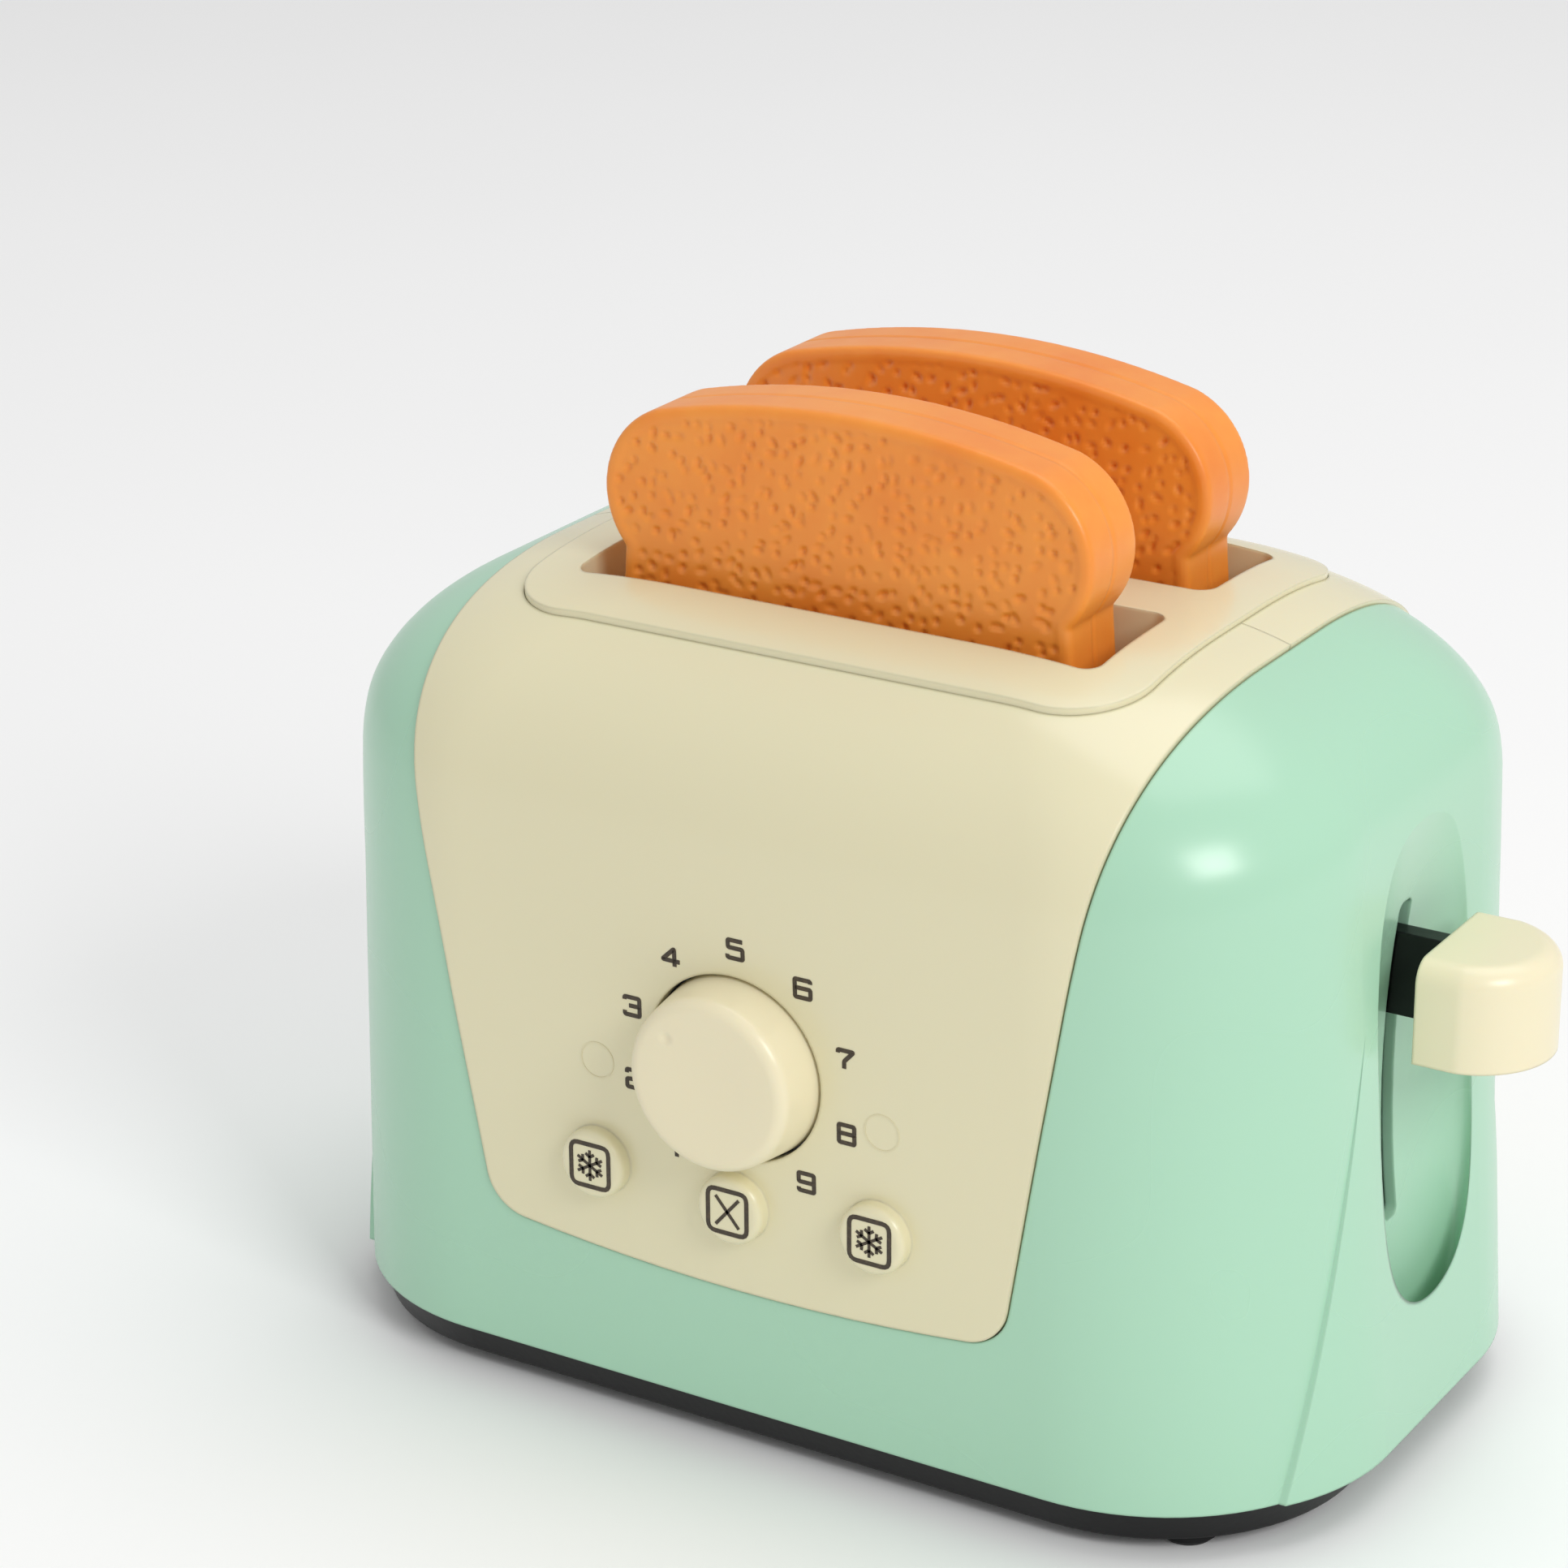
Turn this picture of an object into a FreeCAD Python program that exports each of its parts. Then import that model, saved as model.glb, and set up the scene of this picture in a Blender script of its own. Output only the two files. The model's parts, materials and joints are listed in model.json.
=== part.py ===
"""A two-slot toy toaster: a moulded body round a sprung bread carriage and a clockwork timer.

The frame is +Z up with its origin on the floor under the middle of the body. The front panel faces -Y and
the lever is on the +X end. All sizes are in millimetres.
"""

import FreeCAD, Part
import Sketcher
import math
import os
import re

from FreeCAD import Placement, Rotation, Vector

os.makedirs("parts", exist_ok=True)
doc = FreeCAD.newDocument("toy_toaster")

SIZES = {
    # The moulded body. Half sizes run from the middle of the body to its outside.
    "housing_bottom": 9.0,
    "body_top": 151.2,
    "foot_half_length": 103.3,
    "waist_half_length": 98.7,
    "foot_half_depth": 64.9,
    "waist_half_depth": 67.4,
    "end_shoulder_run": 48.6,
    "end_shoulder_rise": 31.5,
    "face_shoulder_run": 38.8,
    "face_shoulder_rise": 38.0,
    "plan_corner": 42.0,
    "crown_corner": 26.0,
    "wall": 2.2,
    "seam": 0.3,
    "joint_gap": 0.05,
    # The raised sail on each end.
    "sail_rise": 2.8,
    "sail_top": 92.0,
    "sail_foot_half_width": 45.5,
    "sail_top_half_width": 22.0,
    # The cream front and rear panels.
    "panel_bottom": 35.4,
    "panel_bow": 3.6,
    "panel_foot_half_width": 53.0,
    "panel_slope": 9.8,
    "panel_corner": 9.0,
    "panel_proud": 0.5,
    "panel_wall": 2.6,
    "flange_wall": 1.3,
    "flange_reach": 4.0,
    # The raised surround of the two bread slots.
    "bezel_half_length": 62.5,
    "bezel_half_depth": 47.5,
    "bezel_corner": 15.0,
    "bezel_proud": 1.3,
    "bezel_gap": 0.12,
    "slot_half_length": 52.75,
    "slot_width": 28.6,
    "slot_middle": 21.5,
    "slot_corner": 3.5,
    "chute_wall": 1.8,
    "chute_bottom": 98.0,
    # The scoop and lever slot in the right end.
    "scoop_height": 75.0,
    "scoop_half_height": 58.0,
    "scoop_half_width": 19.5,
    "scoop_depth": 7.3,
    "scoop_setback": 0.6,
    "lever_slot_width": 5.0,
    "lever_slot_low": 44.4,
    "lever_slot_high": 105.7,
    "lever_slot_round": 1.5,
    # The black base and its feet.
    "base_bottom": 3.0,
    "base_taper": 2.2,
    "base_inset": 0.8,
    "base_floor": 2.5,
    "base_rim": 4.0,
    "base_lip": 3.0,
    "foot_across": 81.0,
    "foot_along": 48.0,
    "foot_radius": 5.5,
    "foot_seat": 1.0,
    "foot_round": 1.0,
    # The sprung carriage.
    "toast_floor": 92.0,
    "carriage_travel": 38.0,
    "cradle_thick": 3.8,
    "cradle_width": 16.0,
    "cradle_half_length": 48.0,
    "cradle_hole_pitch": 16.0,
    "cradle_hole_radius": 3.5,
    "frame_left": 57.0,
    "frame_web": 3.0,
    "frame_width": 60.0,
    "frame_height": 14.0,
    "frame_bottom": 84.0,
    "hub_length": 18.0,
    "hub_width": 36.0,
    "rod_across": 68.5,
    "rod_along": 12.0,
    "rod_radius": 1.5,
    "rod_clearance": 0.06,
    "rod_bottom": 5.5,
    "rod_top": 141.0,
    "rod_boss_radius": 4.0,
    "rod_boss_top": 12.0,
    "bracket_level": 134.0,
    "bracket_thick": 3.0,
    "bracket_length": 22.0,
    "buffer_thick": 4.0,
    "buffer_radius": 3.6,
    "spring_radius": 3.4,
    "spring_wire": 0.45,
    "spring_turns": 12,
    # The lever.
    "lever_thick": 3.8,
    "lever_height": 15.6,
    "lever_bottom": 84.8,
    "lever_end": 113.0,
    "knob_inner": 104.5,
    "knob_reach": 19.7,
    "knob_half_depth": 14.6,
    "knob_flank": 8.0,
    "knob_bottom": 82.4,
    "knob_height": 18.9,
    "knob_round": 4.0,
    "knob_bend": 5.0,
    # The latch.
    "latch_across": 46.0,
    "latch_height": 15.0,
    "latch_width": 6.0,
    "latch_thick": 4.0,
    "latch_top": 65.5,
    "latch_nose": 8.0,
    "latch_nose_thick": 4.2,
    "latch_pin_radius": 1.5,
    "latch_ear": 3.0,
    "latch_gap": 0.3,
    # The toast slices.
    "toast_thick": 17.2,
    "toast_middle": 22.1,
    "toast_height": 94.4,
    "toast_neck_height": 63.4,
    "toast_neck": 45.2,
    "toast_foot": 49.6,
    "toast_shoulder": 49.2,
    "toast_shoulder_height": 75.0,
    "toast_crown_side": 38.0,
    "toast_crown_drop": 4.6,
    "toast_round": 1.3,
    # The timer dial and its works.
    "dial_height": 77.5,
    "dial_radius": 17.4,
    "dial_face_radius": 16.2,
    "dial_reach": 12.0,
    "dial_seat": 64.4,
    "dial_round": 2.4,
    "dial_gap": 0.35,
    "shaft_radius": 2.5,
    "shaft_clearance": 0.05,
    "plate_front": 61.0,
    "plate_rear": 43.5,
    "plate_thick": 1.5,
    "plate_left": 24.0,
    "plate_right": 36.0,
    "plate_low": 32.0,
    "plate_high": 102.0,
    "pillar_inset": 4.5,
    "pillar_radius": 2.2,
    "screw_radius": 1.2,
    "screw_head": 2.4,
    "screw_head_thick": 1.2,
    "gear_module": 1.0,
    "main_teeth": 40,
    "pinion_teeth": 10,
    "second_teeth": 30,
    "tooth_tip": 0.8,
    "tooth_root": 1.1,
    "tooth_root_share": 0.26,
    "tooth_lean": 0.42,
    "gear_thick": 3.0,
    "layer_gap": 1.5,
    "fan_gap": 1.0,
    "fan_pinion_over": 0.2,
    "pinion_over": 0.5,
    "gear_play": 0.25,
    "arbor_radius": 1.0,
    "cam_radius": 7.0,
    "fan_radius": 8.0,
    "fan_thick": 3.0,
    "fan_blade": 2.0,
    "mainspring_radius": 8.0,
    "mainspring_start": 1.0,
    "mainspring_turns": 4,
    "mainspring_strip": 0.4,
    "mainspring_width": 3.0,
    # The three moulded buttons, which do not move.
    "button_across": 29.0,
    "button_height": 52.6,
    "button_middle_drop": 1.8,
    "button_radius": 6.6,
    "button_rise": 3.2,
    "button_round": 1.3,
    # Screws through the base.
    "base_screw_across": 60.0,
    "base_screw_along": 45.0,
    "base_screw_radius": 1.6,
    "base_screw_head": 3.2,
    "base_screw_length": 22.0,
    "base_post_radius": 4.0,
}

sheet = doc.addObject("Spreadsheet::Sheet", "Sizes")
for row, (alias, value) in enumerate(SIZES.items(), start=1):
    sheet.set(f"A{row}", alias.replace("_", " "))
    sheet.set(f"B{row}", str(value))
    sheet.setAlias(f"B{row}", alias)
doc.recompute()

PARTS = []


def size(alias):
    """One value of the sheet."""
    return float(sheet.get(alias))


def linked(formula):
    """A formula with each alias written the way an expression names it."""
    return re.sub(r"\b([a-z]+(?:_[a-z]+)+|wall|seam)\b", r"Sizes.\1", formula)


def bind(item, **formulas):
    for name, formula in formulas.items():
        item.setExpression(name, linked(formula))
    return item


def place(item, across, along, up, turn=None):
    """Puts an item at a bound position, turned by an (axis, degrees) pair."""
    if turn:
        item.Placement = Placement(Vector(), Rotation(Vector(*turn[0]), turn[1]))
    for axis, formula in zip("xyz", (across, along, up)):
        item.setExpression("Placement.Base." + axis, linked(formula))
    return item


def box(name, sizes, corner):
    item = doc.addObject("Part::Box", name)
    bind(item, Length=sizes[0], Width=sizes[1], Height=sizes[2])
    return place(item, *corner)


def rod(name, radius, length, start, turn=None):
    """A round bar, along +Z unless it is turned."""
    item = doc.addObject("Part::Cylinder", name)
    bind(item, Radius=radius, Height=length)
    return place(item, *start, turn=turn)


def cut(name, base, tool):
    item = doc.addObject("Part::Cut", name)
    item.Base = base
    item.Tool = tool
    return item


def fuse(name, *items):
    item = doc.addObject("Part::MultiFuse", name)
    item.Shapes = list(items)
    return item


def feature(name, shape):
    item = doc.addObject("Part::Feature", name)
    item.Shape = shape
    return item


def group(name, *items):
    """Separate solids that share one node."""
    item = doc.addObject("Part::Compound", name)
    item.Links = list(items)
    return item


def part(item, label):
    item.Label = label
    PARTS.append(item)
    return item


# How far a cutting shape runs past the face that it opens.
OVERCUT = 1.0
AWAY = ((1, 0, 0), -90)
TOWARDS = ((1, 0, 0), 90)


# The outer form and what is cut to it.


def half_length(level):
    """Half the body's length at one height, outside."""
    start = size("body_top") - size("end_shoulder_rise")
    rise = size("waist_half_length") - size("foot_half_length")
    if level <= start:
        share = (level - size("housing_bottom")) / (start - size("housing_bottom"))
        return size("foot_half_length") + rise * share
    share = min((level - start) / size("end_shoulder_rise"), 1.0)
    return size("waist_half_length") - size("end_shoulder_run") * (1 - math.sqrt(1 - share * share))


def half_depth(level):
    """Half the body's depth at one height, outside."""
    start = size("body_top") - size("face_shoulder_rise")
    rise = size("waist_half_depth") - size("foot_half_depth")
    if level <= start:
        share = (level - size("housing_bottom")) / (start - size("housing_bottom"))
        return size("foot_half_depth") + rise * share
    share = min((level - start) / size("face_shoulder_rise"), 1.0)
    return size("waist_half_depth") - size("face_shoulder_run") * (1 - math.sqrt(1 - share * share))


def corner_radius(level):
    """The plan corner's radius, which shrinks over the shoulder."""
    start = size("body_top") - size("face_shoulder_rise")
    if level <= start:
        return size("plan_corner")
    share = min((level - start) / size("face_shoulder_rise"), 1.0)
    fall = size("plan_corner") - size("crown_corner")
    return size("plan_corner") - fall * (1 - math.sqrt(1 - share * share))


def rounded_rectangle(half_x, half_y, radius, level):
    """A closed wire of four lines and four arcs, starting on the +X side."""
    inner_x = half_x - radius
    inner_y = half_y - radius
    diagonal = radius * math.sqrt(0.5)
    edges = []
    turns = ((1, 1), (-1, 1), (-1, -1), (1, -1))
    for index, (sx, sy) in enumerate(turns):
        middle = Vector(sx * (inner_x + diagonal), sy * (inner_y + diagonal), level)
        on_x = Vector(sx * half_x, sy * inner_y, level)
        on_y = Vector(sx * inner_x, sy * half_y, level)
        begin, end = (on_x, on_y) if sx * sy > 0 else (on_y, on_x)
        edges.append(Part.Arc(begin, middle, end).toShape())
        next_x, next_y = turns[(index + 1) % 4]
        if sx * sy > 0:
            start_next = Vector(next_x * inner_x, next_y * half_y, level)
        else:
            start_next = Vector(next_x * half_x, next_y * inner_y, level)
        edges.append(Part.LineSegment(end, start_next).toShape())
    return Part.Wire(edges)


SHOULDER_STEPS = 9
LOWER_STEPS = 6
LOFT_DEGREE = 2


def form(inset, bottom=None):
    """The body's solid form, drawn in by a wall thickness."""
    low = size("housing_bottom") if bottom is None else bottom
    start = size("body_top") - size("face_shoulder_rise")
    levels = [low + (start - low) * step / LOWER_STEPS for step in range(LOWER_STEPS)]
    for step in range(SHOULDER_STEPS + 1):
        turn = math.pi / 2 * step / SHOULDER_STEPS
        levels.append(start + size("face_shoulder_rise") * math.sin(turn))
    wires = []
    for level in levels:
        height = level - inset * (level - low) / (size("body_top") - low)
        wires.append(
            rounded_rectangle(
                half_length(level) - inset,
                half_depth(level) - inset,
                corner_radius(level) - inset,
                height,
            )
        )
    return Part.makeLoft(wires, True, False, False, LOFT_DEGREE)


def prism(points, direction):
    """A straight prism on a closed outline of lines."""
    return Part.Face(Part.makePolygon(points + points[:1])).extrude(direction)


def saddle(grow):
    """The panels' outline seen from the front, as a prism right through the body."""
    slope = math.tan(math.radians(size("panel_slope")))
    side = grow / math.cos(math.radians(size("panel_slope")))
    bottom = size("panel_bottom") + size("panel_bow") / 2 - grow
    foot = size("panel_foot_half_width") + side - grow * slope
    top = size("body_top") + size("plan_corner")
    head = foot + (top - bottom) * slope
    reach = size("waist_half_depth") + size("plan_corner")
    lower = Part.Arc(
        Vector(-foot, -reach, bottom),
        Vector(0, -reach, bottom - size("panel_bow")),
        Vector(foot, -reach, bottom),
    ).toShape()
    upper = Part.makePolygon(
        [
            Vector(foot, -reach, bottom),
            Vector(head, -reach, top),
            Vector(-head, -reach, top),
            Vector(-foot, -reach, bottom),
        ]
    )
    solid = Part.Face(Part.Wire([lower] + upper.Edges)).extrude(Vector(0, 2 * reach, 0))
    corners = [
        edge
        for edge in solid.Edges
        if edge.BoundBox.YLength > reach and edge.BoundBox.Center.z < bottom + 1
    ]
    return solid.makeFillet(size("panel_corner") + grow, corners)


def upright(half_x, half_y, radius, low, high, middle=0.0):
    """A rounded rectangular prism that stands on a level."""
    outline = rounded_rectangle(half_x, half_y, radius, low)
    solid = Part.Face(outline).extrude(Vector(0, 0, high - low))
    solid.translate(Vector(0, middle, 0))
    return solid


def surround(grow):
    """The slot surround's outline seen from above, as a prism through the top."""
    return upright(
        size("bezel_half_length") + grow,
        size("bezel_half_depth") + grow,
        size("bezel_corner") + grow,
        size("bracket_level"),
        size("body_top") + size("plan_corner"),
    )


FLANGE_OUTER = size("wall") + size("joint_gap")
FLANGE_INNER = FLANGE_OUTER + size("flange_wall")
outer_form = form(0.0)
inner_form = form(size("wall"), size("housing_bottom") - OVERCUT)
flange_outer = form(FLANGE_OUTER, size("housing_bottom") - OVERCUT)
flange_inner = form(FLANGE_INNER, size("housing_bottom") - OVERCUT)
panel_outer = form(-size("panel_proud"))
panel_inner = form(size("panel_wall"), size("housing_bottom") - OVERCUT)
opening = surround(size("bezel_gap"))


def sail():
    """The raised middle of both ends, which fades into the body at its top."""
    low = size("housing_bottom")
    top = size("sail_top") + 2 * size("sail_rise")
    wires = []
    for level in (low, top):
        share = (level - low) / (size("sail_top") - low)
        extra = size("sail_rise") * (1 - share)
        wires.append(
            rounded_rectangle(
                half_length(level) + extra, half_depth(level) - size("wall"), size("plan_corner"), level
            )
        )
    swollen = Part.makeLoft(wires, True, True)
    reach = size("foot_half_length") + size("plan_corner")
    foot = size("sail_foot_half_width")
    head = size("sail_top_half_width")
    outline = [
        Vector(-reach, -foot, low - 1),
        Vector(-reach, foot, low - 1),
        Vector(-reach, head, top + 1),
        Vector(-reach, -head, top + 1),
    ]
    return swollen.common(prism(outline, Vector(2 * reach, 0, 0)))


SCOOP_STEPS = 12
SCOOP_SPAN = 0.98


def scoop(grow):
    """The spoon-shaped hollow behind the lever: oval levels that grow deep and wide towards mid-height."""
    middle = size("scoop_height")
    centre = half_length(middle) + size("scoop_setback")
    wires = []
    for step in range(SCOOP_STEPS + 1):
        share = SCOOP_SPAN * (2 * step / SCOOP_STEPS - 1)
        level = middle + share * (size("scoop_half_height") + grow)
        deep = size("scoop_depth") * (1 - share**2) + grow
        wide = size("scoop_half_width") * math.sqrt(1 - share**4) + grow
        oval = Part.makeCircle(1.0, Vector(0, 0, 0))
        stretch = FreeCAD.Matrix()
        stretch.scale(deep, wide, 1.0)
        wire = Part.Wire([oval.toNurbs().transformGeometry(stretch).Edges[0]])
        wire.translate(Vector(centre, 0, level))
        wires.append(wire)
    return Part.makeLoft(wires, True, False, False, 2)


def lever_slot():
    width = size("lever_slot_width")
    low = size("lever_slot_low")
    high = size("lever_slot_high")
    reach = size("foot_half_length")
    solid = Part.makeBox(reach, width, high - low, Vector(reach / 2, -width / 2, low))
    ends = [edge for edge in solid.Edges if edge.BoundBox.XLength > reach / 2]
    return solid.makeFillet(size("lever_slot_round"), ends)


def housing():
    outside = outer_form.fuse(sail())
    dish = scoop(size("wall")).common(outside)
    shell = outside.cut(inner_form).fuse(dish).cut(scoop(0.0))
    shell = shell.cut(lever_slot()).cut(saddle(size("seam")))
    posts = []
    for sx in (-1, 1):
        for sy in (-1, 1):
            posts.append(base_post(sx, sy))
    return shell.fuse(posts).removeSplitter()


def base_post(sx, sy):
    """A screw post that stands on the base and is webbed to the housing's long wall."""
    x = sx * size("base_screw_across")
    y = sy * size("base_screw_along")
    low = size("housing_bottom") + size("base_rim") + size("joint_gap")
    tall = size("panel_bottom") - size("panel_bow") - size("flange_reach") - low - size("seam")
    radius = size("base_post_radius")
    post = Part.makeCylinder(radius, tall, Vector(x, y, low))
    web_end = sy * (size("foot_half_depth") - size("wall") / 2)
    web_low = min(y, web_end)
    web = Part.makeBox(
        size("wall"), abs(web_end - y), tall, Vector(x - size("wall") / 2, web_low, low)
    )
    hole = Part.makeCylinder(
        size("base_screw_radius"), size("base_screw_length"), Vector(x, y, size("base_bottom"))
    )
    return post.fuse(web).cut(hole)


part(feature("Housing", housing()), "housing_shell")


def half_space(side):
    """All that lies on one side of the mid-depth seam."""
    reach = size("foot_half_length") + size("plan_corner")
    gap = size("joint_gap")
    start = gap if side > 0 else -gap - reach
    return Part.makeBox(2 * reach, reach, 2 * reach, Vector(-reach, start, 0))


def panel(side):
    """One cream panel: its skin, and a flange that laps behind the housing."""
    skin = panel_outer.cut(panel_inner).common(saddle(0.0))
    lap = flange_outer.cut(flange_inner).common(saddle(size("flange_reach")))
    lap = lap.cut(saddle(-size("flange_reach")))
    whole = skin.fuse(lap).cut(opening)
    whole = whole.common(half_space(side))
    return whole


def button(across, up):
    """A moulded dome that looks like a button."""
    face = half_depth(up)
    root = size("panel_wall") / 2
    length = root + size("panel_proud") + size("button_rise")
    start = Vector(across, -face + root, up)
    solid = Part.makeCylinder(size("button_radius"), length, start, Vector(0, -1, 0))
    rim = [edge for edge in solid.Edges if edge.BoundBox.Center.y < -face and edge.Closed]
    return solid.makeFillet(size("button_round"), rim)


def plate_corners():
    """The timer plates' pillar places, across and up."""
    inset = size("pillar_inset")
    for across in (-size("plate_left") + inset, size("plate_right") - inset):
        for up in (size("plate_low") + inset, size("plate_high") - inset):
            yield across, up


def front_panel():
    solid = panel(-1)
    for across, drop in (
        (-size("button_across"), 0.0),
        (0.0, size("button_middle_drop")),
        (size("button_across"), 0.0),
    ):
        solid = solid.fuse(button(across, size("button_height") - drop))
    for across, up in plate_corners():
        depth = half_depth(up) - size("panel_wall") / 2 - size("plate_front")
        boss = Part.makeCylinder(
            size("pillar_radius") + size("screw_radius"),
            depth,
            Vector(across, -size("plate_front"), up),
            Vector(0, -1, 0),
        )
        solid = solid.fuse(boss)
    hole = Part.makeCylinder(
        size("dial_radius") + size("dial_gap"),
        size("foot_half_depth"),
        Vector(0, -size("plate_front"), size("dial_height")),
        Vector(0, -1, 0),
    )
    return solid.cut(hole)


part(feature("FrontPanel", front_panel()), "front_panel")
part(feature("RearPanel", panel(1)), "rear_panel")


def chute(side, grow, low, high):
    return upright(
        size("slot_half_length") + grow,
        size("slot_width") / 2 + grow,
        size("slot_corner") + grow,
        low,
        high,
        side * size("slot_middle"),
    )


def bezel():
    """The raised plateau with its two slots, and a chute under each slot."""
    under_panel = size("panel_wall") + size("joint_gap")
    lap_outer = form(under_panel)
    lap_inner = form(under_panel + size("flange_wall"))
    plateau = form(-size("bezel_proud")).cut(lap_inner).common(surround(0.0))
    lap = lap_outer.cut(lap_inner).common(surround(size("flange_reach")))
    whole = plateau.fuse(lap)
    top = size("body_top") - size("wall")
    for side in (-1, 1):
        whole = whole.fuse(chute(side, size("chute_wall"), size("chute_bottom"), top))
    over = size("body_top") + 2 * size("bezel_proud")
    for side in (-1, 1):
        whole = whole.cut(chute(side, 0.0, size("chute_bottom") - OVERCUT, over))
    return whole


part(feature("SlotBezel", bezel()), "slot_bezel")


# The base and its feet.


def base_plate():
    low = size("base_bottom")
    high = size("housing_bottom")
    half_x = size("foot_half_length")
    half_y = size("foot_half_depth")
    corner = size("plan_corner")
    wires = []
    for level, inset in ((low, size("base_inset") + size("base_taper")), (high, size("base_inset"))):
        wires.append(rounded_rectangle(half_x - inset, half_y - inset, corner - inset, level))
    slab = Part.makeLoft(wires, True, True)
    spigot = size("wall") + size("seam")
    rim = upright(half_x - spigot, half_y - spigot, corner - spigot, high, high + size("base_rim"))
    hollow = spigot + size("base_lip")
    well = upright(
        half_x - hollow,
        half_y - hollow,
        corner - hollow,
        low + size("base_floor"),
        high + size("base_rim") + OVERCUT,
    )
    solid = slab.fuse(rim).cut(well)
    floor = low + size("base_floor")
    for sy in (-1, 1):
        at = Vector(size("rod_across"), sy * size("rod_along"), floor)
        boss = Part.makeCylinder(size("rod_boss_radius"), size("rod_boss_top") - floor, at)
        hole = Part.makeCylinder(size("rod_radius") + size("rod_clearance"), size("rod_boss_top"), at)
        solid = solid.fuse(boss).cut(hole)
    for sx in (-1, 1):
        for sy in (-1, 1):
            at = Vector(sx * size("base_screw_across"), sy * size("base_screw_along"), low)
            tall = high + size("base_rim") - low
            boss = Part.makeCylinder(size("base_post_radius"), tall, at)
            hole = Part.makeCylinder(size("base_screw_radius") + size("rod_clearance"), tall, at)
            head = Part.makeCylinder(size("base_screw_head") + size("seam"), size("base_floor"), at)
            solid = solid.fuse(boss).cut(hole).cut(head)
            foot = Vector(sx * size("foot_across"), sy * size("foot_along"), low)
            pad = Part.makeCylinder(size("foot_radius") + size("joint_gap"), size("foot_seat"), foot)
            solid = solid.cut(pad)
    for side in (-1, 1):
        inner = size("latch_width") / 2 + size("latch_gap")
        start = inner if side > 0 else -inner - size("latch_ear")
        width = 2 * size("latch_thick")
        top = size("latch_height") + size("latch_thick")
        corner_at = Vector(size("latch_across") - width / 2, start, floor)
        solid = solid.fuse(Part.makeBox(width, size("latch_ear"), top - floor, corner_at))
    reach = size("latch_width") + 2 * size("latch_gap") + 4 * size("latch_ear")
    pin = Part.makeCylinder(
        size("latch_pin_radius") + size("joint_gap"),
        reach,
        Vector(size("latch_across"), -reach / 2, size("latch_height")),
        Vector(0, 1, 0),
    )
    return solid.cut(pin)


part(feature("BasePlate", base_plate()), "base_plate")


def origin_plane(body, role):
    for item in body.Origin.OriginFeatures:
        if item.Role == role:
            return item
    raise ValueError(role)


def sketch_on(body, role, name):
    item = body.newObject("Sketcher::SketchObject", name)
    item.AttachmentSupport = [(origin_plane(body, role), "")]
    item.MapMode = "FlatFace"
    return item




def closed_sketch(sketch, points, lengths):
    """Draws a closed polygon, ties its corners, and binds each point's place to formulas."""
    count = len(points)
    for index in range(count):
        begin = Vector(*points[index], 0)
        end = Vector(*points[(index + 1) % count], 0)
        sketch.addGeometry(Part.LineSegment(begin, end), False)
    for index in range(count):
        sketch.addConstraint(Sketcher.Constraint("Coincident", index, 2, (index + 1) % count, 1))
    for index, (across, up) in enumerate(lengths):
        for kind, formula, value in (
            ("DistanceX", across, points[index][0]),
            ("DistanceY", up, points[index][1]),
        ):
            number = sketch.addConstraint(Sketcher.Constraint(kind, -1, 1, index, 1, value))
            sketch.setExpression(f"Constraints[{number}]", linked(formula))


def foot(name, sx, sy):
    """A round rubber foot, turned about its own axis."""
    body = doc.addObject("PartDesign::Body", name)
    sketch = sketch_on(body, "XZ_Plane", name + "Profile")
    tall = size("base_bottom") + size("foot_seat")
    radius = size("foot_radius")
    bevel = size("foot_round")
    closed_sketch(
        sketch,
        [(0, 0), (radius - bevel, 0), (radius, bevel), (radius, tall), (0, tall)],
        [
            ("0", "0"),
            ("foot_radius - foot_round", "0"),
            ("foot_radius", "foot_round"),
            ("foot_radius", "base_bottom + foot_seat"),
            ("0", "base_bottom + foot_seat"),
        ],
    )
    turned = body.newObject("PartDesign::Revolution", name + "Turned")
    turned.Profile = sketch
    turned.ReferenceAxis = (sketch, ["V_Axis"])
    turned.Angle = 360.0
    sketch.Visibility = False
    place(body, f"{sx} * foot_across", f"{sy} * foot_along", "0")
    return body


for side_name, sy in (("front", -1), ("rear", 1)):
    for end_name, sx in (("left", -1), ("right", 1)):
        part(
            foot(f"Foot{side_name.title()}{end_name.title()}", sx, sy),
            f"foot_{side_name}_{end_name}",
        )

base_screws = []
for sx in (-1, 1):
    for sy in (-1, 1):
        spot = (f"{sx} * base_screw_across", f"{sy} * base_screw_along")
        tag = f"{'L' if sx < 0 else 'R'}{'F' if sy < 0 else 'B'}"
        head = rod(
            "ScrewHead" + tag,
            "base_screw_head",
            "base_floor - joint_gap",
            (*spot, "base_bottom"),
        )
        shank = rod(
            "ScrewShank" + tag,
            "base_screw_radius - joint_gap / 2",
            "base_screw_length - base_floor",
            (*spot, "base_bottom"),
        )
        base_screws.append(fuse("BaseScrew" + tag, head, shank))
part(group("BaseScrews", *base_screws), "base_screws")


# The carriage, its rods and springs.

for side_name, sy in (("front", -1), ("rear", 1)):
    spot = ("rod_across", f"{sy} * rod_along")
    part(
        rod("GuideRod" + side_name.title(), "rod_radius", "rod_top - rod_bottom", (*spot, "rod_bottom")),
        "guide_rod_" + side_name,
    )

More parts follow.
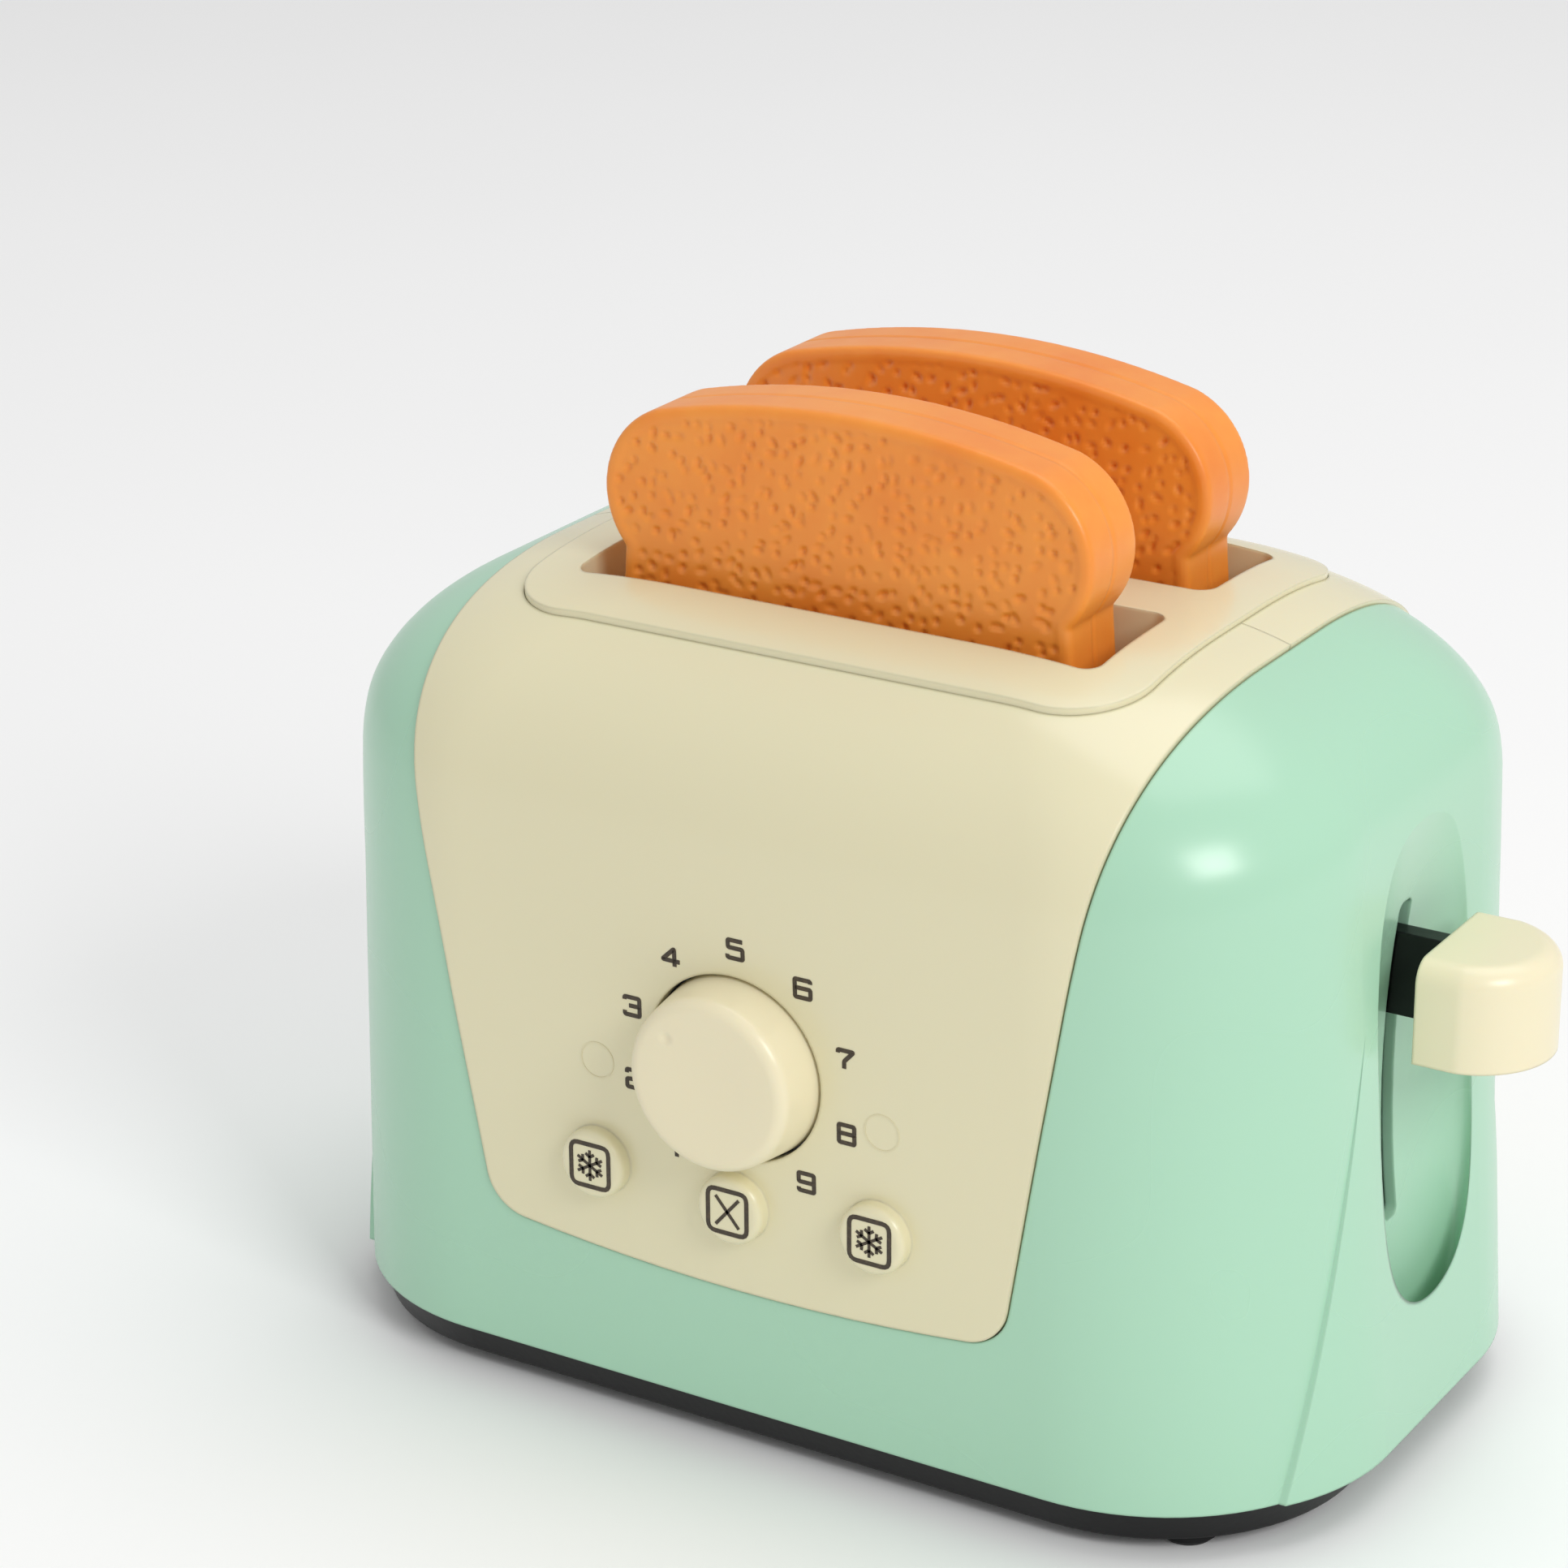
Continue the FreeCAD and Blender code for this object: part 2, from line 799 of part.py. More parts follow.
bracket_bar = box(
    "BracketBar",
    ("bracket_length", "2 * slot_middle + slot_width / 2", "bracket_thick"),
    (
        "slot_half_length + chute_wall + joint_gap",
        "-slot_middle - slot_width / 4",
        "bracket_level",
    ),
)
rod_holes = []
for side_name, sy in (("front", -1), ("rear", 1)):
    rod_holes.append(
        rod(
            "BracketHole" + side_name.title(),
            "rod_radius + rod_clearance",
            "3 * bracket_thick",
            ("rod_across", f"{sy} * rod_along", "bracket_level - bracket_thick"),
        )
    )
part(cut("RodBracket", bracket_bar, fuse("BracketHoles", *rod_holes)), "rod_bracket")

buffers = []
for side_name, sy in (("front", -1), ("rear", 1)):
    spot = ("rod_across", f"{sy} * rod_along", "bracket_level - buffer_thick - joint_gap")
    ring = rod("BufferRing" + side_name.title(), "buffer_radius", "buffer_thick", spot)
    bore = rod("BufferBore" + side_name.title(), "rod_radius + rod_clearance", "buffer_thick", spot)
    buffers.append(cut("Buffer" + side_name.title(), ring, bore))
part(group("RodBuffers", *buffers), "rod_buffers")

frame_web = box(
    "FrameWeb",
    ("frame_web", "frame_width", "frame_height"),
    ("frame_left", "-frame_width / 2", "frame_bottom"),
)
frame_hub = box(
    "FrameHub",
    ("hub_length", "hub_width", "frame_height"),
    ("frame_left + frame_web / 2", "-hub_width / 2", "frame_bottom"),
)
frame_holes = []
for side_name, sy in (("Front", -1), ("Rear", 1)):
    frame_holes.append(
        rod(
            "FrameHole" + side_name,
            "rod_radius + rod_clearance",
            "2 * frame_height",
            ("rod_across", f"{sy} * rod_along", "frame_bottom - frame_height / 2"),
        )
    )
part(
    cut("CarriageFrame", fuse("FrameSolid", frame_web, frame_hub), fuse("FrameHoles", *frame_holes)),
    "carriage_frame",
)


def cradle(side_name, sy):
    """A slotted tray under one slice, butted against the carriage frame."""
    tray = box(
        "Tray" + side_name,
        ("cradle_half_length + frame_left - joint_gap", "cradle_width", "cradle_thick"),
        (
            "-cradle_half_length",
            f"{sy} * toast_middle - cradle_width / 2",
            "toast_floor - joint_gap - cradle_thick",
        ),
    )
    holes = []
    for index in range(-2, 3):
        holes.append(
            rod(
                f"Tray{side_name}Hole{index + 2}",
                "cradle_hole_radius",
                "3 * cradle_thick",
                (
                    f"{index} * cradle_hole_pitch",
                    f"{sy} * toast_middle",
                    "toast_floor - 2 * cradle_thick",
                ),
            )
        )
    return cut("Cradle" + side_name, tray, fuse(f"Tray{side_name}Holes", *holes))


part(cradle("Front", -1), "cradle_front")
part(cradle("Rear", 1), "cradle_rear")


def coil(sy):
    """An open helical spring round a guide rod, as one unbroken tube."""
    low = size("rod_boss_top") + size("spring_wire") + size("joint_gap")
    high = size("frame_bottom") - size("spring_wire") - size("joint_gap")
    pitch = (high - low) / size("spring_turns")
    helix = Part.makeHelix(pitch, high - low, size("spring_radius"))
    tangent = Vector(0, size("spring_radius") * 2 * math.pi, pitch)
    circle = Part.makeCircle(size("spring_wire"), Vector(size("spring_radius"), 0, 0), tangent)
    tube = Part.Wire(helix.Edges).makePipeShell([Part.Wire([circle])], True, True)
    tube.translate(Vector(size("rod_across"), sy * size("rod_along"), low))
    print("spring gap between turns", round(pitch - 2 * size("spring_wire"), 2))
    return tube


part(feature("ReturnSpringFront", coil(-1)), "return_spring_front")
part(feature("ReturnSpringRear", coil(1)), "return_spring_rear")

part(
    box(
        "LeverArm",
        (
            "lever_end - frame_left - frame_web / 2 - hub_length - joint_gap",
            "lever_thick",
            "lever_height",
        ),
        (
            "frame_left + frame_web / 2 + hub_length + joint_gap",
            "-lever_thick / 2",
            "lever_bottom",
        ),
    ),
    "lever_arm",
)


def lever_knob():
    """A D-shaped grip: flat towards the body, bowed outside, with a well-rounded top."""
    inner = size("knob_inner")
    side = size("knob_half_depth")
    flank = inner + size("knob_flank")
    low = size("knob_bottom")
    corners = [
        Vector(flank, side, low),
        Vector(inner, side, low),
        Vector(inner, -side, low),
        Vector(flank, -side, low),
    ]
    bow = Part.Arc(corners[3], Vector(inner + size("knob_reach"), 0, low), corners[0]).toShape()
    face = Part.Face(Part.Wire(Part.makePolygon(corners).Edges + [bow]))
    solid = face.extrude(Vector(0, 0, size("knob_height")))
    bends = [
        edge
        for edge in solid.Edges
        if edge.BoundBox.ZLength > 1 and abs(edge.BoundBox.Center.x - flank) < 0.1
    ]
    solid = solid.makeFillet(size("knob_bend"), bends)
    top = low + size("knob_height")
    crest = [
        edge
        for edge in solid.Edges
        if edge.BoundBox.ZMin > top - 1 and edge.BoundBox.Center.x > inner + 1
    ]
    solid = solid.makeFillet(size("knob_round"), crest)
    socket = Part.makeBox(
        size("lever_end") + size("joint_gap") - inner + 1,
        size("lever_thick") + 2 * size("joint_gap"),
        size("lever_height") + 2 * size("joint_gap"),
        Vector(
            inner - 1,
            -size("lever_thick") / 2 - size("joint_gap"),
            size("lever_bottom") - size("joint_gap"),
        ),
    )
    return solid.cut(socket)


part(feature("LeverKnob", lever_knob()), "lever_knob")


# The latch that holds the carriage down.


def latch():
    """A hook on a pivot, shown swung clear of the carriage."""
    width = size("latch_width")
    thick = size("latch_thick")
    x = size("latch_across")
    low = size("latch_height")
    stem = Part.makeBox(thick, width, size("latch_top") - low, Vector(x - thick / 2, -width / 2, low))
    nose = Part.makeBox(
        thick / 2 + size("latch_nose"),
        width,
        size("latch_nose_thick"),
        Vector(x, -width / 2, size("latch_top") - size("latch_nose_thick")),
    )
    eye = Part.makeCylinder(thick, width, Vector(x, -width / 2, low), Vector(0, 1, 0))
    hole = Part.makeCylinder(
        size("latch_pin_radius") + size("joint_gap"), width, Vector(x, -width / 2, low), Vector(0, 1, 0)
    )
    return stem.fuse([nose, eye]).cut(hole).removeSplitter()


part(feature("LatchHook", latch()), "latch_hook")
part(
    rod(
        "LatchPin",
        "latch_pin_radius",
        "latch_width + 2 * latch_gap + 2 * latch_ear",
        ("latch_across", "-latch_width / 2 - latch_gap - latch_ear", "latch_height"),
        turn=AWAY,
    ),
    "latch_pin",
)


# The toast.


def toast(sy):
    """One slice: a domed top over rounded shoulders, a neck, and sides that flare to the foot."""
    base = size("toast_floor")
    face = sy * size("toast_middle") - size("toast_thick") / 2
    crown = base + size("toast_height")
    side = Vector(size("toast_crown_side"), face, crown - size("toast_crown_drop"))
    bulge = Vector(size("toast_shoulder"), face, base + size("toast_shoulder_height"))
    neck = Vector(size("toast_neck"), face, base + size("toast_neck_height"))
    heel = Vector(size("toast_foot"), face, base)

    def mirrored(point):
        return Vector(-point.x, point.y, point.z)

    edges = [
        Part.Arc(side, Vector(0, face, crown), mirrored(side)).toShape(),
        Part.Arc(mirrored(side), mirrored(bulge), mirrored(neck)).toShape(),
        Part.LineSegment(mirrored(neck), mirrored(heel)).toShape(),
        Part.LineSegment(mirrored(heel), heel).toShape(),
        Part.LineSegment(heel, neck).toShape(),
        Part.Arc(neck, bulge, side).toShape(),
    ]
    solid = Part.Face(Part.Wire(edges)).extrude(Vector(0, size("toast_thick"), 0))
    rims = [edge for edge in solid.Edges if edge.BoundBox.YLength < 0.01]
    return solid.makeFillet(size("toast_round"), rims)


part(feature("ToastFront", toast(-1)), "toast_front")
part(feature("ToastRear", toast(1)), "toast_rear")


# The timer dial and its clockwork.


def dial():
    """The turning knob: a tapered cup with a rounded rim, a small dimple and a bore for its shaft."""
    body = doc.addObject("PartDesign::Body", "TimerKnob")
    sketch = sketch_on(body, "XY_Plane", "KnobProfile")
    seat = -size("dial_seat")
    face = seat - size("dial_reach")
    closed_sketch(
        sketch,
        [(0, seat), (0, face), (size("dial_face_radius"), face), (size("dial_radius"), seat)],
        [
            ("0", "-dial_seat"),
            ("0", "-dial_seat - dial_reach"),
            ("dial_face_radius", "-dial_seat - dial_reach"),
            ("dial_radius", "-dial_seat"),
        ],
    )
    turned = body.newObject("PartDesign::Revolution", "KnobTurned")
    turned.Profile = sketch
    turned.ReferenceAxis = (sketch, ["V_Axis"])
    turned.Angle = 360.0
    doc.recompute()
    bore_sketch = sketch_on(body, "XZ_Plane", "BoreProfile")
    bore_sketch.addGeometry(Part.Circle(Vector(), Vector(0, 0, 1), size("shaft_radius")), False)
    bore_sketch.addConstraint(Sketcher.Constraint("Coincident", 0, 3, -1, 1))
    number = bore_sketch.addConstraint(Sketcher.Constraint("Radius", 0, size("shaft_radius")))
    bore_sketch.setExpression(f"Constraints[{number}]", linked("shaft_radius + joint_gap"))
    bore = body.newObject("PartDesign::Pocket", "ShaftBore")
    bore.Profile = bore_sketch
    bore.Reversed = False
    bore.setExpression("Length", linked("dial_seat + dial_reach / 2"))
    doc.recompute()
    if bore.Shape.Volume > turned.Shape.Volume - 1.0:
        bore.Reversed = True
        doc.recompute()
    rim = []
    for index, edge in enumerate(bore.Shape.Edges, start=1):
        circle = isinstance(edge.Curve, Part.Circle)
        if circle and abs(edge.Curve.Radius - size("dial_face_radius")) < 0.01:
            rim.append(f"Edge{index}")
    fillet = body.newObject("PartDesign::Fillet", "KnobRim")
    fillet.Base = (bore, rim)
    fillet.setExpression("Radius", linked("dial_round"))
    body.Tip = fillet
    place(body, "0", "0", "dial_height")
    return body


part(dial(), "timer_knob")

part(
    rod(
        "TimerShaft",
        "shaft_radius",
        "dial_seat + dial_reach / 2 - joint_gap - plate_rear + plate_thick",
        ("0", "-plate_rear + plate_thick", "dial_height"),
        turn=TOWARDS,
    ),
    "timer_shaft",
)

DIAL = (0.0, size("dial_height"))
MAIN_PITCH = size("gear_module") * size("main_teeth") / 2
PINION_PITCH = size("gear_module") * size("pinion_teeth") / 2
SECOND_PITCH = size("gear_module") * size("second_teeth") / 2
FIRST_DISTANCE = MAIN_PITCH + PINION_PITCH
SECOND_DISTANCE = SECOND_PITCH + PINION_PITCH
SECOND_ANGLE = -45.0
GOVERNOR_ANGLE = -135.0
SECOND = (
    DIAL[0] + FIRST_DISTANCE * math.cos(math.radians(SECOND_ANGLE)),
    DIAL[1] + FIRST_DISTANCE * math.sin(math.radians(SECOND_ANGLE)),
)
GOVERNOR = (
    SECOND[0] + SECOND_DISTANCE * math.cos(math.radians(GOVERNOR_ANGLE)),
    SECOND[1] + SECOND_DISTANCE * math.sin(math.radians(GOVERNOR_ANGLE)),
)


def wheel(centre, teeth, near, thick, tooth_at):
    """A toothed wheel whose tooth tips are rounded down to clear their mate.

    near is the distance in front of the body's middle of its front face. tooth_at is the angle of one tooth.
    """
    module = size("gear_module")
    pitch = module * teeth / 2
    tip = pitch + size("tooth_tip") * module
    root = pitch - size("tooth_root") * module
    step = 2 * math.pi / teeth
    half_root = step * size("tooth_root_share")
    half_pitch = step / 4 - size("gear_play") / 2 / pitch
    half_tip = step / 4 - (size("gear_play") / 2 + size("tooth_lean") * module) / pitch
    points = []
    for index in range(int(teeth)):
        middle = math.radians(tooth_at) + index * step
        for radius, offset in (
            (root, -half_root),
            (pitch, -half_pitch),
            (tip, -half_tip),
            (tip, half_tip),
            (pitch, half_pitch),
            (root, half_root),
        ):
            angle = middle + offset
            points.append(
                Vector(centre[0] + radius * math.cos(angle), -near, centre[1] + radius * math.sin(angle))
            )
    return prism(points, Vector(0, thick, 0))


def disc(centre, radius, near, thick):
    start = Vector(centre[0], -near, centre[1])
    return Part.makeCylinder(radius, thick, start, Vector(0, 1, 0))


GEAR_FRONT = size("plate_front") - size("plate_thick") - size("layer_gap")
SECOND_LAYER = GEAR_FRONT - size("gear_thick") - size("layer_gap")
FAN_LAYER = SECOND_LAYER - size("gear_thick") - size("fan_gap")
SHAFT_BORE = size("shaft_radius") + size("joint_gap") / 2
ARBOR_BORE = size("arbor_radius") + size("shaft_clearance")
PINION_STEP = 360.0 / size("pinion_teeth")

main_gear = wheel(DIAL, size("main_teeth"), GEAR_FRONT, size("gear_thick"), SECOND_ANGLE)
main_gear = main_gear.cut(disc(DIAL, SHAFT_BORE, GEAR_FRONT, size("gear_thick")))
part(feature("MainGear", main_gear), "main_gear")


def trip_cam():
    """A disc with one notch, on the dial's shaft."""
    solid = disc(DIAL, size("cam_radius"), SECOND_LAYER, size("gear_thick"))
    notch = Part.makeBox(
        size("cam_radius"),
        size("gear_thick") + 2,
        size("shaft_radius"),
        Vector(DIAL[0] + size("shaft_radius") + 2, -SECOND_LAYER - 1, DIAL[1]),
    )
    return solid.cut(notch).cut(disc(DIAL, SHAFT_BORE, SECOND_LAYER, size("gear_thick")))


part(feature("TripCam", trip_cam()), "trip_cam")


def second_gear():
    """A pinion that meshes with the main gear, moulded on a wheel that drives the governor."""
    facing = SECOND_ANGLE + 180.0 + PINION_STEP / 2
    tall = GEAR_FRONT - SECOND_LAYER + size("pinion_over")
    pinion = wheel(SECOND, size("pinion_teeth"), GEAR_FRONT, tall, facing)
    big = wheel(SECOND, size("second_teeth"), SECOND_LAYER, size("gear_thick"), GOVERNOR_ANGLE)
    thick = GEAR_FRONT - SECOND_LAYER + size("gear_thick")
    return pinion.fuse(big).cut(disc(SECOND, ARBOR_BORE, GEAR_FRONT, thick))


part(feature("SecondGear", second_gear()), "second_gear")


def governor():
    """A pinion with a two-bladed air brake."""
    facing = GOVERNOR_ANGLE + 180.0 + PINION_STEP / 2
    thick = SECOND_LAYER - FAN_LAYER
    pinion = wheel(GOVERNOR, size("pinion_teeth"), SECOND_LAYER, thick + size("fan_pinion_over"), facing)
    blade = Part.makeBox(
        2 * size("fan_radius"),
        size("fan_thick"),
        size("fan_blade"),
        Vector(GOVERNOR[0] - size("fan_radius"), -FAN_LAYER, GOVERNOR[1] - size("fan_blade") / 2),
    )
    hub = disc(GOVERNOR, size("shaft_radius"), FAN_LAYER, size("fan_thick"))
    return pinion.fuse([blade, hub]).cut(disc(GOVERNOR, ARBOR_BORE, SECOND_LAYER, thick + size("fan_thick")))


part(feature("GovernorFan", governor()), "governor_fan")

ARBOR_FRONT = size("plate_front")
ARBOR_LENGTH = size("plate_front") - size("plate_rear")
arbors = Part.makeCompound(
    [disc(spot, size("arbor_radius"), ARBOR_FRONT, ARBOR_LENGTH) for spot in (SECOND, GOVERNOR)]
)
part(feature("TimerArbors", arbors), "timer_arbors")


def timer_plate(front):
    """One of the two plates that carry the wheels."""
    left = size("plate_left")
    across = left + size("plate_right")
    tall = size("plate_high") - size("plate_low")
    thick = size("plate_thick")
    solid = Part.makeBox(across, thick, tall, Vector(-left, -front, size("plate_low")))
    solid = solid.cut(disc(DIAL, size("shaft_radius") + size("shaft_clearance"), front, thick))
    for spot in (SECOND, GOVERNOR):
        solid = solid.cut(disc(spot, size("arbor_radius") + size("joint_gap") / 2, front, thick))
    for spot in plate_corners():
        solid = solid.cut(disc(spot, size("screw_radius") + size("joint_gap"), front, thick))
    return solid


REAR_PLATE_FRONT = size("plate_rear") + size("plate_thick")
part(feature("TimerFrontPlate", timer_plate(size("plate_front"))), "timer_front_plate")
part(feature("TimerRearPlate", timer_plate(REAR_PLATE_FRONT)), "timer_rear_plate")


def pillars():
    near = size("plate_front") - size("plate_thick")
    length = near - REAR_PLATE_FRONT
    solids = []
    for spot in plate_corners():
        post = disc(spot, size("pillar_radius"), near, length)
        solids.append(post.cut(disc(spot, size("screw_radius") + size("joint_gap"), near, length)))
    return Part.makeCompound(solids)


def timer_screws():
    length = size("plate_front") + size("plate_thick") - size("plate_rear")
    solids = []
    for spot in plate_corners():
        shank = disc(spot, size("screw_radius"), size("plate_rear") + length - size("plate_thick"), length)
        head = disc(spot, size("screw_head"), size("plate_rear"), size("screw_head_thick"))
        solids.append(shank.fuse(head))
    return Part.makeCompound(solids)


part(feature("TimerPillars", pillars()), "timer_pillars")
part(feature("TimerScrews", timer_screws()), "timer_screws")


def start_of(edge):
    return edge.valueAt(edge.FirstParameter)


def end_of(edge):
    return edge.valueAt(edge.LastParameter)


def mainspring():
    """A flat spiral strip of half-turn arcs round the shaft, with its outer end free by the plate."""
    near = FAN_LAYER
    turns = int(size("mainspring_turns"))
    inner = size("shaft_radius") + size("mainspring_start")
    pitch = (size("mainspring_radius") - inner) / turns
    strip = size("mainspring_strip")

    def run(offset):
        arcs = []
        radius = inner + offset
        centre = 0.0
        side = 1
        for _ in range(2 * turns):
            arcs.append(
                Part.Arc(
                    Vector(centre + side * radius, -near, DIAL[1]),
                    Vector(centre, -near, DIAL[1] + side * radius),
                    Vector(centre - side * radius, -near, DIAL[1]),
                ).toShape()
            )
            centre += side * pitch / 4
            radius += pitch / 4
            side = -side
        return arcs

    inside = run(0.0)
    outside = run(strip)
    ends = [
        Part.LineSegment(start_of(inside[0]), start_of(outside[0])),
        Part.LineSegment(end_of(inside[-1]), end_of(outside[-1])),
    ]
    edges = inside + outside + [end.toShape() for end in ends]
    wire = Part.Wire(Part.__sortEdges__(edges))
    return Part.Face(wire).extrude(Vector(0, size("mainspring_width"), 0))


part(feature("Mainspring", mainspring()), "mainspring")

doc.recompute()
for item in doc.Objects:
    if "Invalid" in item.State or "Error" in item.State:
        raise RuntimeError(f"{item.Name}: {item.State}")
for item in PARTS:
    if item.Shape.isNull() or not item.Shape.isValid():
        raise RuntimeError(f"{item.Label} has no valid shape")
for item in PARTS:
    item.Shape.exportStep(f"parts/{item.Label}.step")
    print(item.Label, len(item.Shape.Solids), round(item.Shape.Volume, 1))
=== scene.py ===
"""The looks of the toy toaster: moulded plastics, printed marks, pimpled toast, studio light and camera."""

import json
import math

import bmesh
import bpy
import numpy as np
from mathutils import Matrix, Vector
from mathutils.bvhtree import BVHTree

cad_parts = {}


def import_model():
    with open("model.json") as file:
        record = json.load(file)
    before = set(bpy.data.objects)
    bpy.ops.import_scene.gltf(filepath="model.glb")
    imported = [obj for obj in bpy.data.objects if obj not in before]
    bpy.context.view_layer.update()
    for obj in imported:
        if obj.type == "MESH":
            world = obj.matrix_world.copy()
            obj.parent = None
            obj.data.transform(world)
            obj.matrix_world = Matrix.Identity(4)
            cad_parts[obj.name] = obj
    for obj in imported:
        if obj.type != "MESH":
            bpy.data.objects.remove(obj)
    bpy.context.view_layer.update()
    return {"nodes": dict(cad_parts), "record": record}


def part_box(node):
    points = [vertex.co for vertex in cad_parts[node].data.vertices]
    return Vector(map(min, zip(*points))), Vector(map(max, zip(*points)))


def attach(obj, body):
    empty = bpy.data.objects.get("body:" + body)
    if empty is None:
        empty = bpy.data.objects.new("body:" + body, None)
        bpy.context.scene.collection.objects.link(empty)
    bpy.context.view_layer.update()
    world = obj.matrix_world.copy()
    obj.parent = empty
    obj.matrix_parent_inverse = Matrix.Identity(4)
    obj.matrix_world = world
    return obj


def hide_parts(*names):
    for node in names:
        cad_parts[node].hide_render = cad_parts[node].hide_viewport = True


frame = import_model()
NODES = frame["nodes"]
MM = 0.001

# Colours as they look, from 0 to 255.
CREAM = (229, 222, 186)
# The knobs' cream is the panel's cream painted lighter, as the knob sides that face the key lamp look:
# painted light.
KNOB_CREAM_PAINTED_LIT = (238, 228, 194)
# The sink marks' cream is darker: painted shade for the shallow dents of the sink marks.
CREAM_SINK_SHADE = (222, 214, 177)
GREEN = (170, 214, 186)
BLACK = (9, 9, 10)
INK = (58, 48, 34)
TOAST = (244, 152, 58)
TOAST_DEEP = (236, 132, 42)
NYLON = (225, 222, 210)
STEEL = (176, 178, 182)
RUBBER = (10, 10, 11)
FLOOR = (252, 252, 252)

# How the finishes vary. Tones are shares of a colour, spreads are shares of a roughness.
BEVEL_SAMPLES = 6
FLOW_TONES = (0.98, 1.015)
PLASTIC_SPREAD = (0.9, 1.1)
PLASTIC_COAT_ROUGH = 0.2
PLASTIC_SCATTER = (0.004, 0.0025, 0.0012)
STREAK_TONE = 0.9
METAL_SPREAD = (0.7, 1.3)
TOAST_ROUGH = (0.3, 0.42)
TOAST_SCATTER = (0.004, 0.0018, 0.0006)
INK_TONE = 1.35
INK_ROUGH = (0.4, 0.6)
FLOOR_TONE = 0.995
FLOOR_ROUGH = (0.55, 0.6)


def shade(colour):
    """A displayed colour as the linear value a material takes."""
    out = []
    for level in colour:
        value = level / 255
        out.append(value / 12.92 if value <= 0.04045 else ((value + 0.055) / 1.055) ** 2.4)
    return (*out, 1.0)


def lighter(colour, share):
    """A colour at a share of its levels, which may also be darker."""
    return tuple(min(255, level * share) for level in colour)


class Nodes:
    """Short calls for a material's node tree. Lengths are in metres, noise scales per metre."""

    def __init__(self, name):
        self.material = bpy.data.materials.new(name)
        self.material.use_nodes = True
        self.tree = self.material.node_tree
        self.shader = self.tree.nodes["Principled BSDF"]
        self.place = self.add("ShaderNodeTexCoord").outputs["Object"]

    def add(self, kind, **inputs):
        node = self.tree.nodes.new(kind)
        for name, value in inputs.items():
            node.inputs[name].default_value = value
        return node

    def join(self, output, socket):
        self.tree.links.new(output, socket)

    def drive(self, name, output):
        """Joins an output to an input of the shader."""
        self.join(output, self.shader.inputs[name])

    def put(self, name, value):
        """Gives an input of the shader its value."""
        self.shader.inputs[name].default_value = value

    def scatter(self, weight, radius, scale):
        self.put("Subsurface Weight", weight)
        self.put("Subsurface Radius", radius)
        self.put("Subsurface Scale", scale)

    def noise(self, scale, detail=2.0, roughness=0.5):
        node = self.add("ShaderNodeTexNoise", Scale=scale, Detail=detail, Roughness=roughness)
        self.join(self.place, node.inputs["Vector"])
        return node.outputs["Fac"]

    def ramp(self, factor, low, high, low_at=0.3, high_at=0.7):
        node = self.add("ShaderNodeValToRGB")
        node.color_ramp.elements[0].position = low_at
        node.color_ramp.elements[0].color = low
        node.color_ramp.elements[1].position = high_at
        node.color_ramp.elements[1].color = high
        self.join(factor, node.inputs["Fac"])
        return node.outputs["Color"]

    def span(self, factor, low, high):
        node = self.add("ShaderNodeMapRange")
        node.inputs["To Min"].default_value = low
        node.inputs["To Max"].default_value = high
        self.join(factor, node.inputs["Value"])
        return node.outputs["Result"]

    def bump(self, height, distance, strength, normal=None):
        node = self.add("ShaderNodeBump", Strength=strength, Distance=distance)
        self.join(height, node.inputs["Height"])
        if normal is not None:
            self.join(normal, node.inputs["Normal"])
        return node.outputs["Normal"]

    def soft_edges(self, radius):
        node = self.add("ShaderNodeBevel", Radius=radius)
        node.samples = BEVEL_SAMPLES
        return node.outputs["Normal"]


def plastic(name, colour, rough, edge=0.0006, depth=0.000006, coat=0.0, scatter=0.0, shine=0.5):
    """Moulded plastic: faint flow marks in its colour, a fine skin and softly rounded edges."""
    made = Nodes(name)
    dark, light = (shade(lighter(colour, tone)) for tone in FLOW_TONES)
    flow = made.noise(scale=9.0, detail=0.0)
    made.drive("Base Color", made.ramp(flow, dark, light, low_at=0.0, high_at=1.0))
    sleek, dull = (rough * share for share in PLASTIC_SPREAD)
    made.drive("Roughness", made.span(made.noise(scale=20.0, detail=0.0), sleek, dull))
    normal = made.soft_edges(edge) if edge else None
    skin = made.bump(made.noise(scale=700.0), distance=depth, strength=0.5, normal=normal)
    made.drive("Normal", skin)
    made.put("Specular IOR Level", shine)
    made.put("Coat Weight", coat)
    made.put("Coat Roughness", PLASTIC_COAT_ROUGH)
    if scatter:
        made.scatter(scatter, PLASTIC_SCATTER, scale=0.4)
    return made.material


def metal(name, colour, rough):
    """Drawn or plated steel with fine marks."""
    made = Nodes(name)
    streak = made.noise(scale=400.0, detail=4.0)
    made.drive("Base Color", made.ramp(streak, shade(lighter(colour, STREAK_TONE)), shade(colour)))
    sleek, dull = (rough * share for share in METAL_SPREAD)
    made.drive("Roughness", made.span(made.noise(scale=250.0), sleek, dull))
    made.drive("Normal", made.bump(streak, distance=0.00001, strength=0.4))
    made.put("Metallic", 1.0)
    return made.material


def toast_material():
    """Orange moulded plastic, paler in patches, with a fine skin. Its pits are in the mesh."""
    made = Nodes("toast_plastic")
    patch = made.noise(scale=35.0, detail=4.0, roughness=0.6)
    colours = made.ramp(patch, shade(TOAST_DEEP), shade(TOAST), low_at=0.25, high_at=0.6)
    made.drive("Base Color", colours)
    made.drive("Roughness", made.span(made.noise(scale=120.0), *TOAST_ROUGH))
    skin = made.bump(made.noise(scale=900.0, detail=3.0), distance=0.00004, strength=0.4)
    made.drive("Normal", skin)
    made.scatter(0.12, TOAST_SCATTER, scale=0.5)
    return made.material


